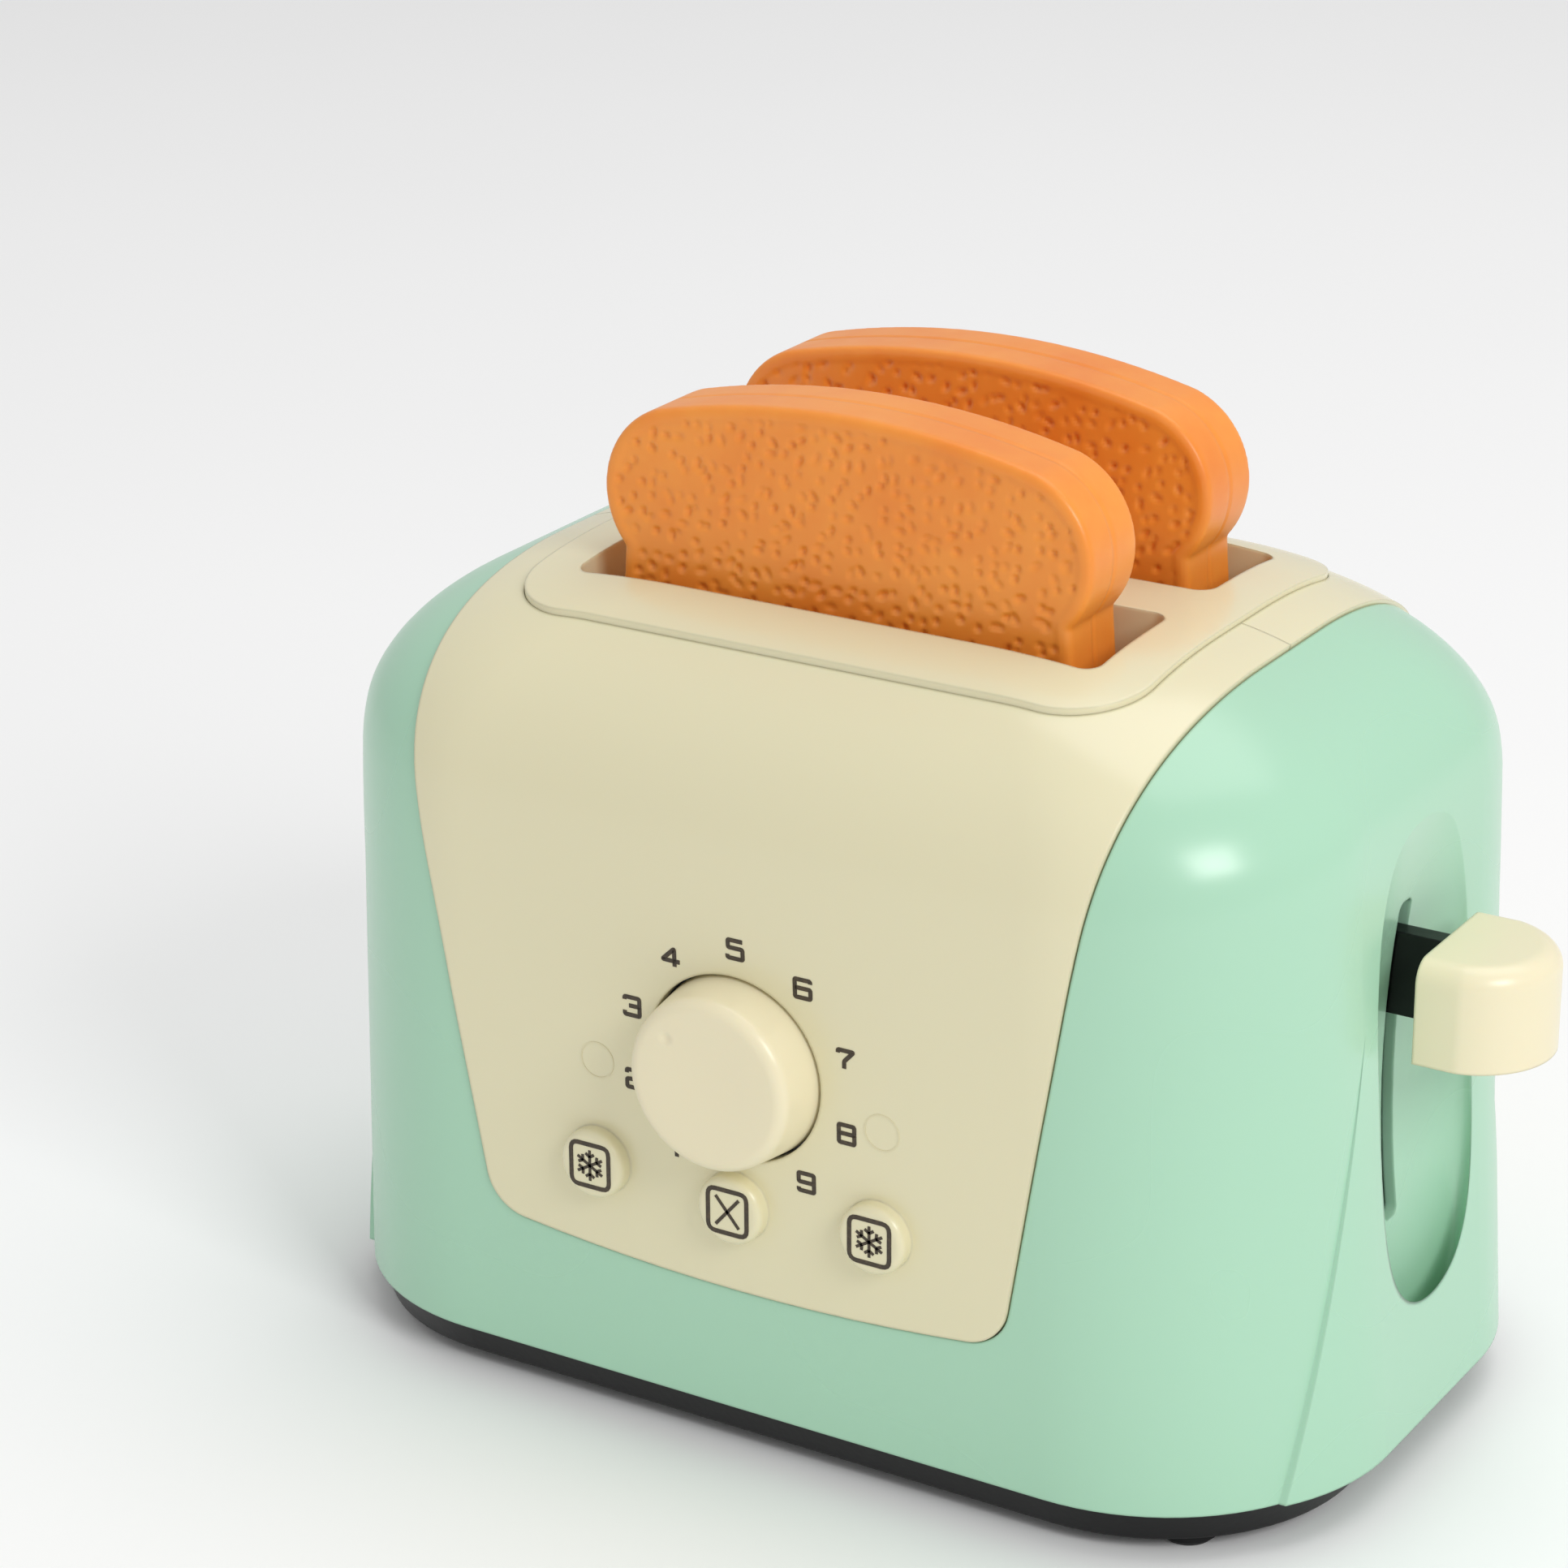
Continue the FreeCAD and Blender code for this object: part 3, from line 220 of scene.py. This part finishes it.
def ink_material():
    """Pad-printed ink, with slightly uneven cover."""
    made = Nodes("printed_ink")
    cover = made.noise(scale=1500.0, detail=3.0)
    colours = made.ramp(cover, shade(INK), shade(lighter(INK, INK_TONE)), low_at=0.45, high_at=0.75)
    made.drive("Base Color", colours)
    made.drive("Roughness", made.span(made.noise(scale=800.0), *INK_ROUGH))
    return made.material


cream = plastic("cream_plastic", CREAM, 0.24, edge=0.0009, coat=0.25, scatter=0.08)
# The knobs' cream carries painted light: it is the panel's cream made lighter.
knob_cream_painted_lit = plastic("knob_cream_painted_lit_plastic", KNOB_CREAM_PAINTED_LIT, 0.3, edge=0.0008, coat=0.15, scatter=0.1)
# A darker cream for the sink-mark rings, as painted shade of their shallow dents.
sink_shade_cream = plastic("sink_shade_cream", CREAM_SINK_SHADE, 0.35, edge=0)
green = plastic("green_plastic", GREEN, 0.27, edge=0.0007, coat=0.12, scatter=0.05)
black = plastic("black_plastic", BLACK, 0.34, edge=0.0006, depth=0.00005, shine=0.3)
rubber = plastic("rubber", RUBBER, 0.6, edge=0.0004, depth=0.00006, shine=0.3)
nylon = plastic("nylon", NYLON, 0.4, edge=0.0003, scatter=0.1)
steel = metal("steel", STEEL, 0.28)
zinc = metal("zinc_plate", STEEL, 0.4)
toast_skin = toast_material()
ink = ink_material()

FINISHES = {
    "cream": cream, "green": green, "black": black, "foot": rubber, "toast": toast_skin,
    "steel": steel, "zinc": zinc, "white": nylon,
}
KNOBS = ("timer_knob", "lever_knob")

# The carried-over CAD nodes get their finishes; the knobs get the cream with painted light.
for entry in frame["record"]["subparts"]:
    finish = knob_cream_painted_lit if entry["node"] in KNOBS else FINISHES[entry["material_slot"]]
    for place in NODES[entry["node"]].material_slots:
        place.material = finish


def new_object(name, data):
    obj = bpy.data.objects.new(name, data)
    bpy.context.scene.collection.objects.link(obj)
    return obj


def piece(name, mesh, material, body):
    """A visible piece made here, in one finish, that moves with a body."""
    obj = new_object(name, mesh)
    obj.data.materials.clear()
    obj.data.materials.append(material)
    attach(obj, body)
    return obj


def closed_mesh(made, name):
    """The mesh that a closed bmesh becomes, with its faces turned outward."""
    bmesh.ops.recalc_face_normals(made, faces=made.faces)
    mesh = bpy.data.meshes.new(name)
    made.to_mesh(mesh)
    made.free()
    return mesh


def shade_smooth(mesh):
    for polygon in mesh.polygons:
        polygon.use_smooth = True


# Printed marks on the front panel, in mm.

PEN_STEP = 0.5
ROUND_STEPS = 4
PRINT_THICK = 0.12
PRINT_SINK = 0.03
RING_CENTRE = (1.0, 77.6)
RING_RADIUS = 23.0
RING_STEP = 36.0
TOP_DIGIT = 5
DIGIT_WIDTH = 3.1
DIGIT_TALL = 3.4
DIGIT_STROKE = 0.8
DIGIT_ROUND = 0.28

# Each digit is drawn as pen strokes on a grid two wide and four tall.
DIGITS = {
    1: [[(0.4, 3.4), (1.1, 4), (1.1, 0)]],
    2: [[(0, 3.2), (0, 4), (2, 4), (2, 2.2), (0, 1.8), (0, 0), (2.1, 0)]],
    3: [[(0, 3.3), (0, 4), (2, 4), (2, 2.1), (0.6, 2.1)], [(2, 2.1), (2, 0), (0, 0), (0, 0.8)]],
    4: [[(1.6, 0), (1.6, 4), (0, 1.2), (2.3, 1.2)]],
    5: [[(2, 4), (0.1, 4), (0.1, 2.3), (2, 2.3), (2, 0), (0, 0), (0, 0.7)]],
    6: [[(2, 3.4), (2, 4), (0, 4), (0, 0), (2, 0), (2, 2.1), (0, 2.1)]],
    7: [[(0, 3.3), (0, 4), (2, 4), (0.8, 1.6), (0.8, 0)]],
    8: [[(0, 2.1), (0, 4), (2, 4), (2, 2.1), (0, 2.1), (0, 0), (2, 0), (2, 2.1)]],
    9: [[(2, 2), (0, 2), (0, 4), (2, 4), (2, 0), (0, 0), (0, 0.7)]],
}

# Depths in metres: where the rays towards the panel start, and what stands in where one misses it.
RAY_START = -0.09
PANEL_DEPTH = -0.066


def panel_surface():
    mesh = NODES["front_panel"].data
    points = [v.co.copy() for v in mesh.vertices]
    return BVHTree.FromPolygons(points, [tuple(p.vertices) for p in mesh.polygons])


PANEL = panel_surface()


def front_of_panel(x, z):
    """The panel's outer surface at one place, as its depth."""
    hit = PANEL.ray_cast(Vector((x, RAY_START, z)), Vector((0, 1, 0)))
    return hit[0].y if hit[0] is not None else PANEL_DEPTH


def rounded(points, radius, closed=False):
    """A pen line with its corners rounded, in small steps."""
    count = len(points)
    out = []
    for index, (x, z) in enumerate(points):
        corner = Vector((x, z))
        if not closed and index in (0, count - 1):
            out.append(corner)
            continue
        before = Vector(points[index - 1])
        after = Vector(points[(index + 1) % count])
        reach_in = min(radius, (before - corner).length / 2)
        reach_out = min(radius, (after - corner).length / 2)
        start = corner + (before - corner).normalized() * reach_in
        end = corner + (after - corner).normalized() * reach_out
        for step in range(ROUND_STEPS + 1):
            share = step / ROUND_STEPS
            left = start.lerp(corner, share)
            right = corner.lerp(end, share)
            out.append(left.lerp(right, share))
    return out


def pen_mesh(name, lines, stroke):
    """Strokes of one width, laid on the panel. Each line is (points in mm, closed)."""
    made = bmesh.new()
    for points, closed in lines:
        fine = []
        count = len(points)
        for index in range(count if closed else count - 1):
            begin, end = points[index], points[(index + 1) % count]
            pieces = max(1, int((end - begin).length / PEN_STEP))
            fine.extend(begin.lerp(end, k / pieces) for k in range(pieces))
        if not closed:
            fine.append(points[-1])
        rows = []
        total = len(fine)
        for index, point in enumerate(fine):
            before = fine[index - 1] if closed or index else point
            after = fine[(index + 1) % total] if closed or index < total - 1 else point
            along = (after - before).normalized()
            side = Vector((-along.y, along.x)) * stroke / 2
            row = []
            for place in (point + side, point - side):
                x, z = place.x * MM, place.y * MM
                y = front_of_panel(x, z)
                row.append(made.verts.new((x, y - (PRINT_THICK - PRINT_SINK) * MM, z)))
                row.append(made.verts.new((x, y + PRINT_SINK * MM, z)))
            rows.append(row)
        for index in range(total if closed else total - 1):
            here, there = rows[index], rows[(index + 1) % total]
            for a, b in ((0, 2), (2, 3), (3, 1), (1, 0)):
                made.faces.new((here[a], here[b], there[b], there[a]))
        if not closed:
            for row in (rows[0], rows[-1]):
                made.faces.new((row[0], row[1], row[3], row[2]))
    return closed_mesh(made, name)


def digit_lines(digit, centre_x, centre_z):
    """A digit's strokes about its centre. The grid's own centre is (1, 2)."""
    lines = []
    for stroke in DIGITS[digit]:
        points = [
            (centre_x + (x - 1) * DIGIT_WIDTH / 2, centre_z + (z - 2) * DIGIT_TALL / 4) for x, z in stroke
        ]
        lines.append((rounded(points, DIGIT_ROUND), False))
    return lines


for digit in DIGITS:
    angle = math.radians(90 - (digit - TOP_DIGIT) * RING_STEP)
    centre_x = RING_CENTRE[0] + RING_RADIUS * math.cos(angle)
    centre_z = RING_CENTRE[1] + RING_RADIUS * math.sin(angle)
    mesh = pen_mesh(f"numeral_{digit}", digit_lines(digit, centre_x, centre_z), DIGIT_STROKE)
    piece(f"numeral_{digit}", mesh, ink, "shell")

# Each button's name and centre.
BUTTONS = (("left", -29.0, 52.6), ("middle", 0.0, 50.8), ("right", 29.0, 52.6))
ICON_HALF_WIDTH = 4.0
ICON_HALF_TALL = 4.15
ICON_ROUND = 1.5
ICON_STROKE = 0.85
FLAKE_ARMS = 6
FLAKE_REACH = 3.0
FLAKE_STROKE = 0.55
FLAKE_FIRST = 30
BARB_ROOT = 0.55
BARB_TURN = 55
BARB_LENGTH = 1.1
CROSS_HALF_WIDTH = 2.4
CROSS_HALF_TALL = 2.8
CROSS_STROKE = 0.62


def icon_frame(x, z):
    w, h = ICON_HALF_WIDTH, ICON_HALF_TALL
    corners = [(x - w, z - h), (x + w, z - h), (x + w, z + h), (x - w, z + h)]
    return (rounded(corners, ICON_ROUND, True), True)


def flake(x, z):
    """A six-armed crystal with two barbs on each arm."""
    lines = []
    for arm in range(FLAKE_ARMS):
        turn = math.radians(FLAKE_FIRST + 360 // FLAKE_ARMS * arm)
        tip = Vector((x + FLAKE_REACH * math.cos(turn), z + FLAKE_REACH * math.sin(turn)))
        lines.append(([Vector((x, z)), tip], False))
        for bend in (-BARB_TURN, BARB_TURN):
            root = Vector((x, z)).lerp(tip, BARB_ROOT)
            barb_turn = turn + math.radians(bend)
            barb = root + Vector((math.cos(barb_turn), math.sin(barb_turn))) * BARB_LENGTH
            lines.append(([root, barb], False))
    return lines


def cross(x, z):
    w, h = CROSS_HALF_WIDTH, CROSS_HALF_TALL
    return [
        ([Vector((x - w, z - h)), Vector((x + w, z + h))], False),
        ([Vector((x - w, z + h)), Vector((x + w, z - h))], False),
    ]


for name, x, z in BUTTONS:
    mesh = pen_mesh(f"button_{name}_border", [icon_frame(x, z)], ICON_STROKE)
    piece(f"button_{name}_border", mesh, ink, "shell")
    symbol = cross(x, z) if name == "middle" else flake(x, z)
    width = CROSS_STROKE if name == "middle" else FLAKE_STROKE
    mesh = pen_mesh(f"button_{name}_symbol", symbol, width)
    piece(f"button_{name}_symbol", mesh, ink, "shell")


# Faint rings of painted shade where moulding left shallow sink marks in the panel, in mm.

SINK_MARKS = ((29.9, 72.5), (-28.7, 72.4))
SINK_RADIUS = 3.4
SINK_STROKE = 0.25
MARK_STEPS = 40

for index, (x, z) in enumerate(SINK_MARKS):
    ring = []
    for step in range(MARK_STEPS):
        turn = 2 * math.pi * step / MARK_STEPS
        ring.append(Vector((x + SINK_RADIUS * math.cos(turn), z + SINK_RADIUS * math.sin(turn))))
    mesh = pen_mesh(f"sink_shade_ring_{index}", [(ring, True)], SINK_STROKE)
    # Each ring is painted shade, in the darker cream, round a sink mark.
    piece(f"sink_shade_ring_{index}", mesh, sink_shade_cream, "shell")


# The dial's knob, in mm, remade with a slightly hollow face and one small dimple near its edge.

KNOB_DRAFT = 0.1
KNOB_EDGE = 2.4
KNOB_EDGE_STEPS = 8
KNOB_SIDE_STEPS = 12
KNOB_BACK_STEP = 1.2
KNOB_HOLLOW = 0.3
KNOB_TURNS = 180
KNOB_RING = 0.35
DIMPLE_PLACE = (-7.9, 7.6)
DIMPLE_RADIUS = 1.25
DIMPLE_DEPTH = 0.4
FACE_DEPTH = 1.0


def knob_profile():
    """The knob's outline as (radius, depth behind the face), from the middle of the face outward."""
    low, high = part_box("timer_knob")
    base = (high.x - low.x) / 2 / MM
    back = (high.y - low.y) / MM
    face = base - back * KNOB_DRAFT
    points = []
    flat = face - KNOB_EDGE
    rings = int(flat / KNOB_RING)
    for step in range(1, rings + 1):
        radius = flat * step / rings
        points.append((radius, KNOB_HOLLOW * (1 - (radius / flat) ** 2) ** 2))
    for step in range(1, KNOB_EDGE_STEPS + 1):
        turn = math.pi / 2 * step / KNOB_EDGE_STEPS
        points.append((flat + KNOB_EDGE * math.sin(turn), KNOB_EDGE * (1 - math.cos(turn))))
    for step in range(1, KNOB_SIDE_STEPS + 1):
        share = step / KNOB_SIDE_STEPS
        depth = KNOB_EDGE + (back - KNOB_EDGE) * share
        points.append((face + (base - face) * share, depth))
    points.append((base - KNOB_BACK_STEP, back))
    return points, back


def knob_piece():
    """The profile turned round the knob's axis, with the dimple pressed into its face."""
    low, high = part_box("timer_knob")
    centre_x = (low.x + high.x) / 2 / MM
    centre_z = (low.z + high.z) / 2 / MM
    front = low.y / MM
    points, back = knob_profile()
    made = bmesh.new()

    def corner(x, depth, z):
        return made.verts.new(((centre_x + x) * MM, (front + depth) * MM, (centre_z + z) * MM))

    middle = corner(0, KNOB_HOLLOW, 0)
    rings = []
    for radius, depth in points:
        ring = []
        for step in range(KNOB_TURNS):
            turn = 2 * math.pi * step / KNOB_TURNS
            x, z = radius * math.cos(turn), radius * math.sin(turn)
            gap = math.hypot(x - DIMPLE_PLACE[0], z - DIMPLE_PLACE[1]) / DIMPLE_RADIUS
            dent = DIMPLE_DEPTH * max(0.0, 1 - gap * gap) if depth < FACE_DEPTH else 0.0
            ring.append(corner(x, depth + dent, z))
        rings.append(ring)
    rear = corner(0, back, 0)
    for step in range(KNOB_TURNS):
        after = (step + 1) % KNOB_TURNS
        made.faces.new((middle, rings[0][step], rings[0][after]))
        made.faces.new((rear, rings[-1][after], rings[-1][step]))
        for inner, outer in zip(rings, rings[1:]):
            made.faces.new((inner[step], outer[step], outer[after], inner[after]))
    mesh = closed_mesh(made, "dial_knob")
    shade_smooth(mesh)
    # The knob takes the cream that is painted lighter, as painted light.
    obj = piece("dial_knob", mesh, knob_cream_painted_lit, "dial")
    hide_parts("timer_knob")


knob_piece()


# The toast slices, in metres, remade with a pimpled face inside a smooth rim.

VOXEL = 0.0005
SMOOTHING = 2
RIM_BORDER = 0.0022
RIM_FADE = 0.0008
RIM_STEP = 0.00025
SEAM_DEPTH = 0.0003
SEAM_HALF = 0.0006
OUTLINE_SHARE = 0.45
SAME_POINT = 1e-5
FAR = 1.0
SHORTEST = 1e-12

# A normal's share along Y at which a point counts as on the slice's face, or as on its edge.
ON_FACE = 0.8
ON_EDGE = 0.4

# The pits: their size, the range of their place in a cell, and their length and depth as shares.
PIT_DEPTH = 0.0008
PIT_PITCH = 0.0031
PIT_LONG = 0.0011
PIT_SHORT = 0.0007
PIT_REACH = 1.25
PIT_PLACES = (0.1, 0.9)
PIT_LENGTHS = (0.6, 1.25)
PIT_DEPTHS = (0.45, 1.0)
REAR_SEED = 10


def rim_distance(points, outline):
    """How far each (x, z) point is from the slice's outline."""
    best = np.full(len(points), FAR)
    for start, end in zip(outline, np.roll(outline, -1, axis=0)):
        side = end - start
        share = np.clip(((points - start) @ side) / max(side @ side, SHORTEST), 0, 1)
        gap = np.linalg.norm(points - (start + share[:, None] * side), axis=1)
        best = np.minimum(best, gap)
    return best


def slice_outline(node):
    """The slice's outline from its CAD mesh: the points near its middle, in order round its centre."""
    low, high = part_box(node)
    middle = (low.y + high.y) / 2
    mesh = NODES[node].data
    co = np.array([v.co[:] for v in mesh.vertices])
    flat = co[np.abs(co[:, 1] - middle) < (high.y - low.y) * OUTLINE_SHARE][:, [0, 2]]
    centre = np.array([(low.x + high.x) / 2, (low.z + high.z) / 2])
    angle = np.arctan2(flat[:, 1] - centre[1], flat[:, 0] - centre[0])
    flat = flat[np.argsort(angle)]
    keep = [0]
    for index in range(1, len(flat)):
        if np.linalg.norm(flat[index] - flat[keep[-1]]) > SAME_POINT:
            keep.append(index)
    return flat[keep]


def pit_field(low, high, seed):
    """Dents of random place and turn, one for each cell of a loose grid over the slice's face."""
    draw = np.random.default_rng(seed)
    across = int((high.x - low.x) / PIT_PITCH) + 1
    up = int((high.z - low.z) / PIT_PITCH) + 1
    columns, rows = np.meshgrid(np.arange(across), np.arange(up), indexing="ij")
    x = low.x + (columns + draw.uniform(*PIT_PLACES, columns.shape)) * PIT_PITCH
    z = low.z + (rows + draw.uniform(*PIT_PLACES, rows.shape)) * PIT_PITCH
    turn = draw.uniform(0, math.pi, columns.shape)
    long_side = PIT_LONG * draw.uniform(*PIT_LENGTHS, columns.shape)
    deep = draw.uniform(*PIT_DEPTHS, columns.shape)
    return x, z, turn, long_side, deep


def pit_depths(points, low, field):
    """The dent depth, from 0 to 1, at each (x, z) point."""
    x, z, turn, long_side, deep = field
    column = ((points[:, 0] - low.x) / PIT_PITCH).astype(int)
    row = ((points[:, 1] - low.z) / PIT_PITCH).astype(int)
    best = np.zeros(len(points))
    for step_x in (-1, 0, 1):
        for step_z in (-1, 0, 1):
            c = np.clip(column + step_x, 0, x.shape[0] - 1)
            r = np.clip(row + step_z, 0, x.shape[1] - 1)
            dx = points[:, 0] - x[c, r]
            dz = points[:, 1] - z[c, r]
            cos, sin = np.cos(turn[c, r]), np.sin(turn[c, r])
            along = (dx * cos + dz * sin) / long_side[c, r]
            beside = (dz * cos - dx * sin) / PIT_SHORT
            near = np.clip(PIT_REACH - np.hypot(along, beside), 0, 1)
            best = np.maximum(best, near * near * (3 - 2 * near) * deep[c, r])
    return best


def even_mesh(obj):
    """Gives a slice a fine, even mesh with slightly softened edges."""
    remesh = obj.modifiers.new("even", "REMESH")
    remesh.mode = "VOXEL"
    remesh.voxel_size = VOXEL
    smooth = obj.modifiers.new("soften", "SMOOTH")
    smooth.iterations = SMOOTHING
    shown = obj.evaluated_get(bpy.context.evaluated_depsgraph_get())
    mesh = bpy.data.meshes.new_from_object(shown)
    obj.modifiers.clear()
    old = obj.data
    obj.data = mesh
    bpy.data.meshes.remove(old)
    mesh.materials.clear()
    mesh.materials.append(toast_skin)
    return mesh


def toast_piece(node, body, seed):
    """A slice with both faces sunk and pitted inside the rim, and a seam round its edge."""
    low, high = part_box(node)
    middle = (low.y + high.y) / 2
    outline = slice_outline(node)
    obj = piece(node + "_slice", NODES[node].data.copy(), toast_skin, body)
    mesh = even_mesh(obj)
    co = np.empty(len(mesh.vertices) * 3)
    mesh.vertices.foreach_get("co", co)
    co = co.reshape(-1, 3)
    normals = np.array([v.normal[:] for v in mesh.vertices])
    flat = co[:, [0, 2]]
    facing = np.abs(normals[:, 1])
    front = co[:, 1] < middle
    inside = np.clip((rim_distance(flat, outline) - RIM_BORDER) / RIM_FADE, 0, 1)
    front_pits = pit_depths(flat, low, pit_field(low, high, seed))
    rear_pits = pit_depths(flat, low, pit_field(low, high, seed + REAR_SEED))
    pits = np.where(front, front_pits, rear_pits)
    sunk = np.where(facing > ON_FACE, inside * (RIM_STEP + PIT_DEPTH * pits), 0.0)
    co[:, 1] += np.where(front, sunk, -sunk)
    near = np.clip(1 - np.abs(co[:, 1] - middle) / SEAM_HALF, 0, 1)
    groove = np.where(facing < ON_EDGE, SEAM_DEPTH * near, 0.0)
    co -= normals * groove[:, None]
    mesh.vertices.foreach_set("co", co.reshape(-1))
    mesh.update()
    shade_smooth(mesh)
    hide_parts(node)


toast_piece("toast_front", "toast_front_slice", 1)
toast_piece("toast_rear", "toast_rear_slice", 2)


# Studio.

FLOOR_HALF = 6.0
WORLD_LIGHT = 0.62
WORLD_SEEN = 1.0
LAMP_AIM = (0.0, 0.0, 0.08)

# Each lamp's name, place, width in metres and power in watts.
LAMPS = (
    ("key_softbox", (1.55, -0.75, 1.25), 0.7, 15.0),
    ("top_softbox", (0.2, 0.5, 1.9), 1.4, 10.0),
)

CAMERA_AZIMUTH = 31.72
CAMERA_ELEVATION = 21.29
CAMERA_ROLL = -0.39
CAMERA_DISTANCE = 0.82888
CAMERA_TARGET = (-0.03068, 0.0, 0.10221)
CAMERA_LENS = 101.46
CAMERA_SENSOR = 36.0
CAMERA_CLIP = 0.01


def floor():
    mesh = bpy.data.meshes.new("studio_floor")
    half = FLOOR_HALF
    corners = [(-half, -half, 0), (half, -half, 0), (half, half, 0), (-half, half, 0)]
    mesh.from_pydata(corners, [], [(0, 1, 2, 3)])
    obj = new_object("studio_floor", mesh)
    made = Nodes("pale_floor")
    soft = made.noise(scale=3.0)
    made.drive("Base Color", made.ramp(soft, shade(lighter(FLOOR, FLOOR_TONE)), shade(FLOOR)))
    made.drive("Roughness", made.span(soft, *FLOOR_ROUGH))
    mesh.materials.append(made.material)


def world():
    """White all round: soft as a light, full where the camera sees it."""
    scene_world = bpy.data.worlds.new("studio")
    bpy.context.scene.world = scene_world
    scene_world.use_nodes = True
    tree = scene_world.node_tree
    tree.nodes.clear()
    out = tree.nodes.new("ShaderNodeOutputWorld")
    mix = tree.nodes.new("ShaderNodeMixShader")
    path = tree.nodes.new("ShaderNodeLightPath")
    tree.links.new(path.outputs["Is Camera Ray"], mix.inputs["Fac"])
    for socket, strength in ((1, WORLD_LIGHT), (2, WORLD_SEEN)):
        glow = tree.nodes.new("ShaderNodeBackground")
        glow.inputs["Color"].default_value = (1, 1, 1, 1)
        glow.inputs["Strength"].default_value = strength
        tree.links.new(glow.outputs[0], mix.inputs[socket])
    tree.links.new(mix.outputs[0], out.inputs[0])


def lamp(name, place, width, power):
    """A square softbox that points at the part."""
    data = bpy.data.lights.new(name, "AREA")
    data.shape = "SQUARE"
    data.size = width
    data.energy = power
    obj = new_object(name, data)
    obj.location = place
    obj.rotation_euler = (Vector(LAMP_AIM) - Vector(place)).to_track_quat("-Z", "Y").to_euler()


def camera():
    """The photo's camera, round the target from the front, with its roll about the line of sight."""
    az = math.radians(CAMERA_AZIMUTH)
    el = math.radians(CAMERA_ELEVATION)
    roll = math.radians(CAMERA_ROLL)
    back = Vector((math.sin(az) * math.cos(el), -math.cos(az) * math.cos(el), math.sin(el)))
    right = Vector((math.cos(az), math.sin(az), 0.0))
    up = back.cross(right)
    turned_right = math.cos(roll) * right + math.sin(roll) * up
    turned_up = back.cross(turned_right)
    data = bpy.data.cameras.new("photo_camera")
    data.lens = CAMERA_LENS
    data.sensor_width = CAMERA_SENSOR
    data.clip_start = CAMERA_CLIP
    obj = new_object("photo_camera", data)
    axes = Matrix((turned_right, turned_up, back)).transposed().to_4x4()
    obj.matrix_world = Matrix.Translation(Vector(CAMERA_TARGET) + back * CAMERA_DISTANCE) @ axes
    bpy.context.scene.camera = obj


floor()
world()
for settings in LAMPS:
    lamp(*settings)
camera()
bpy.context.scene.view_settings.view_transform = "Standard"
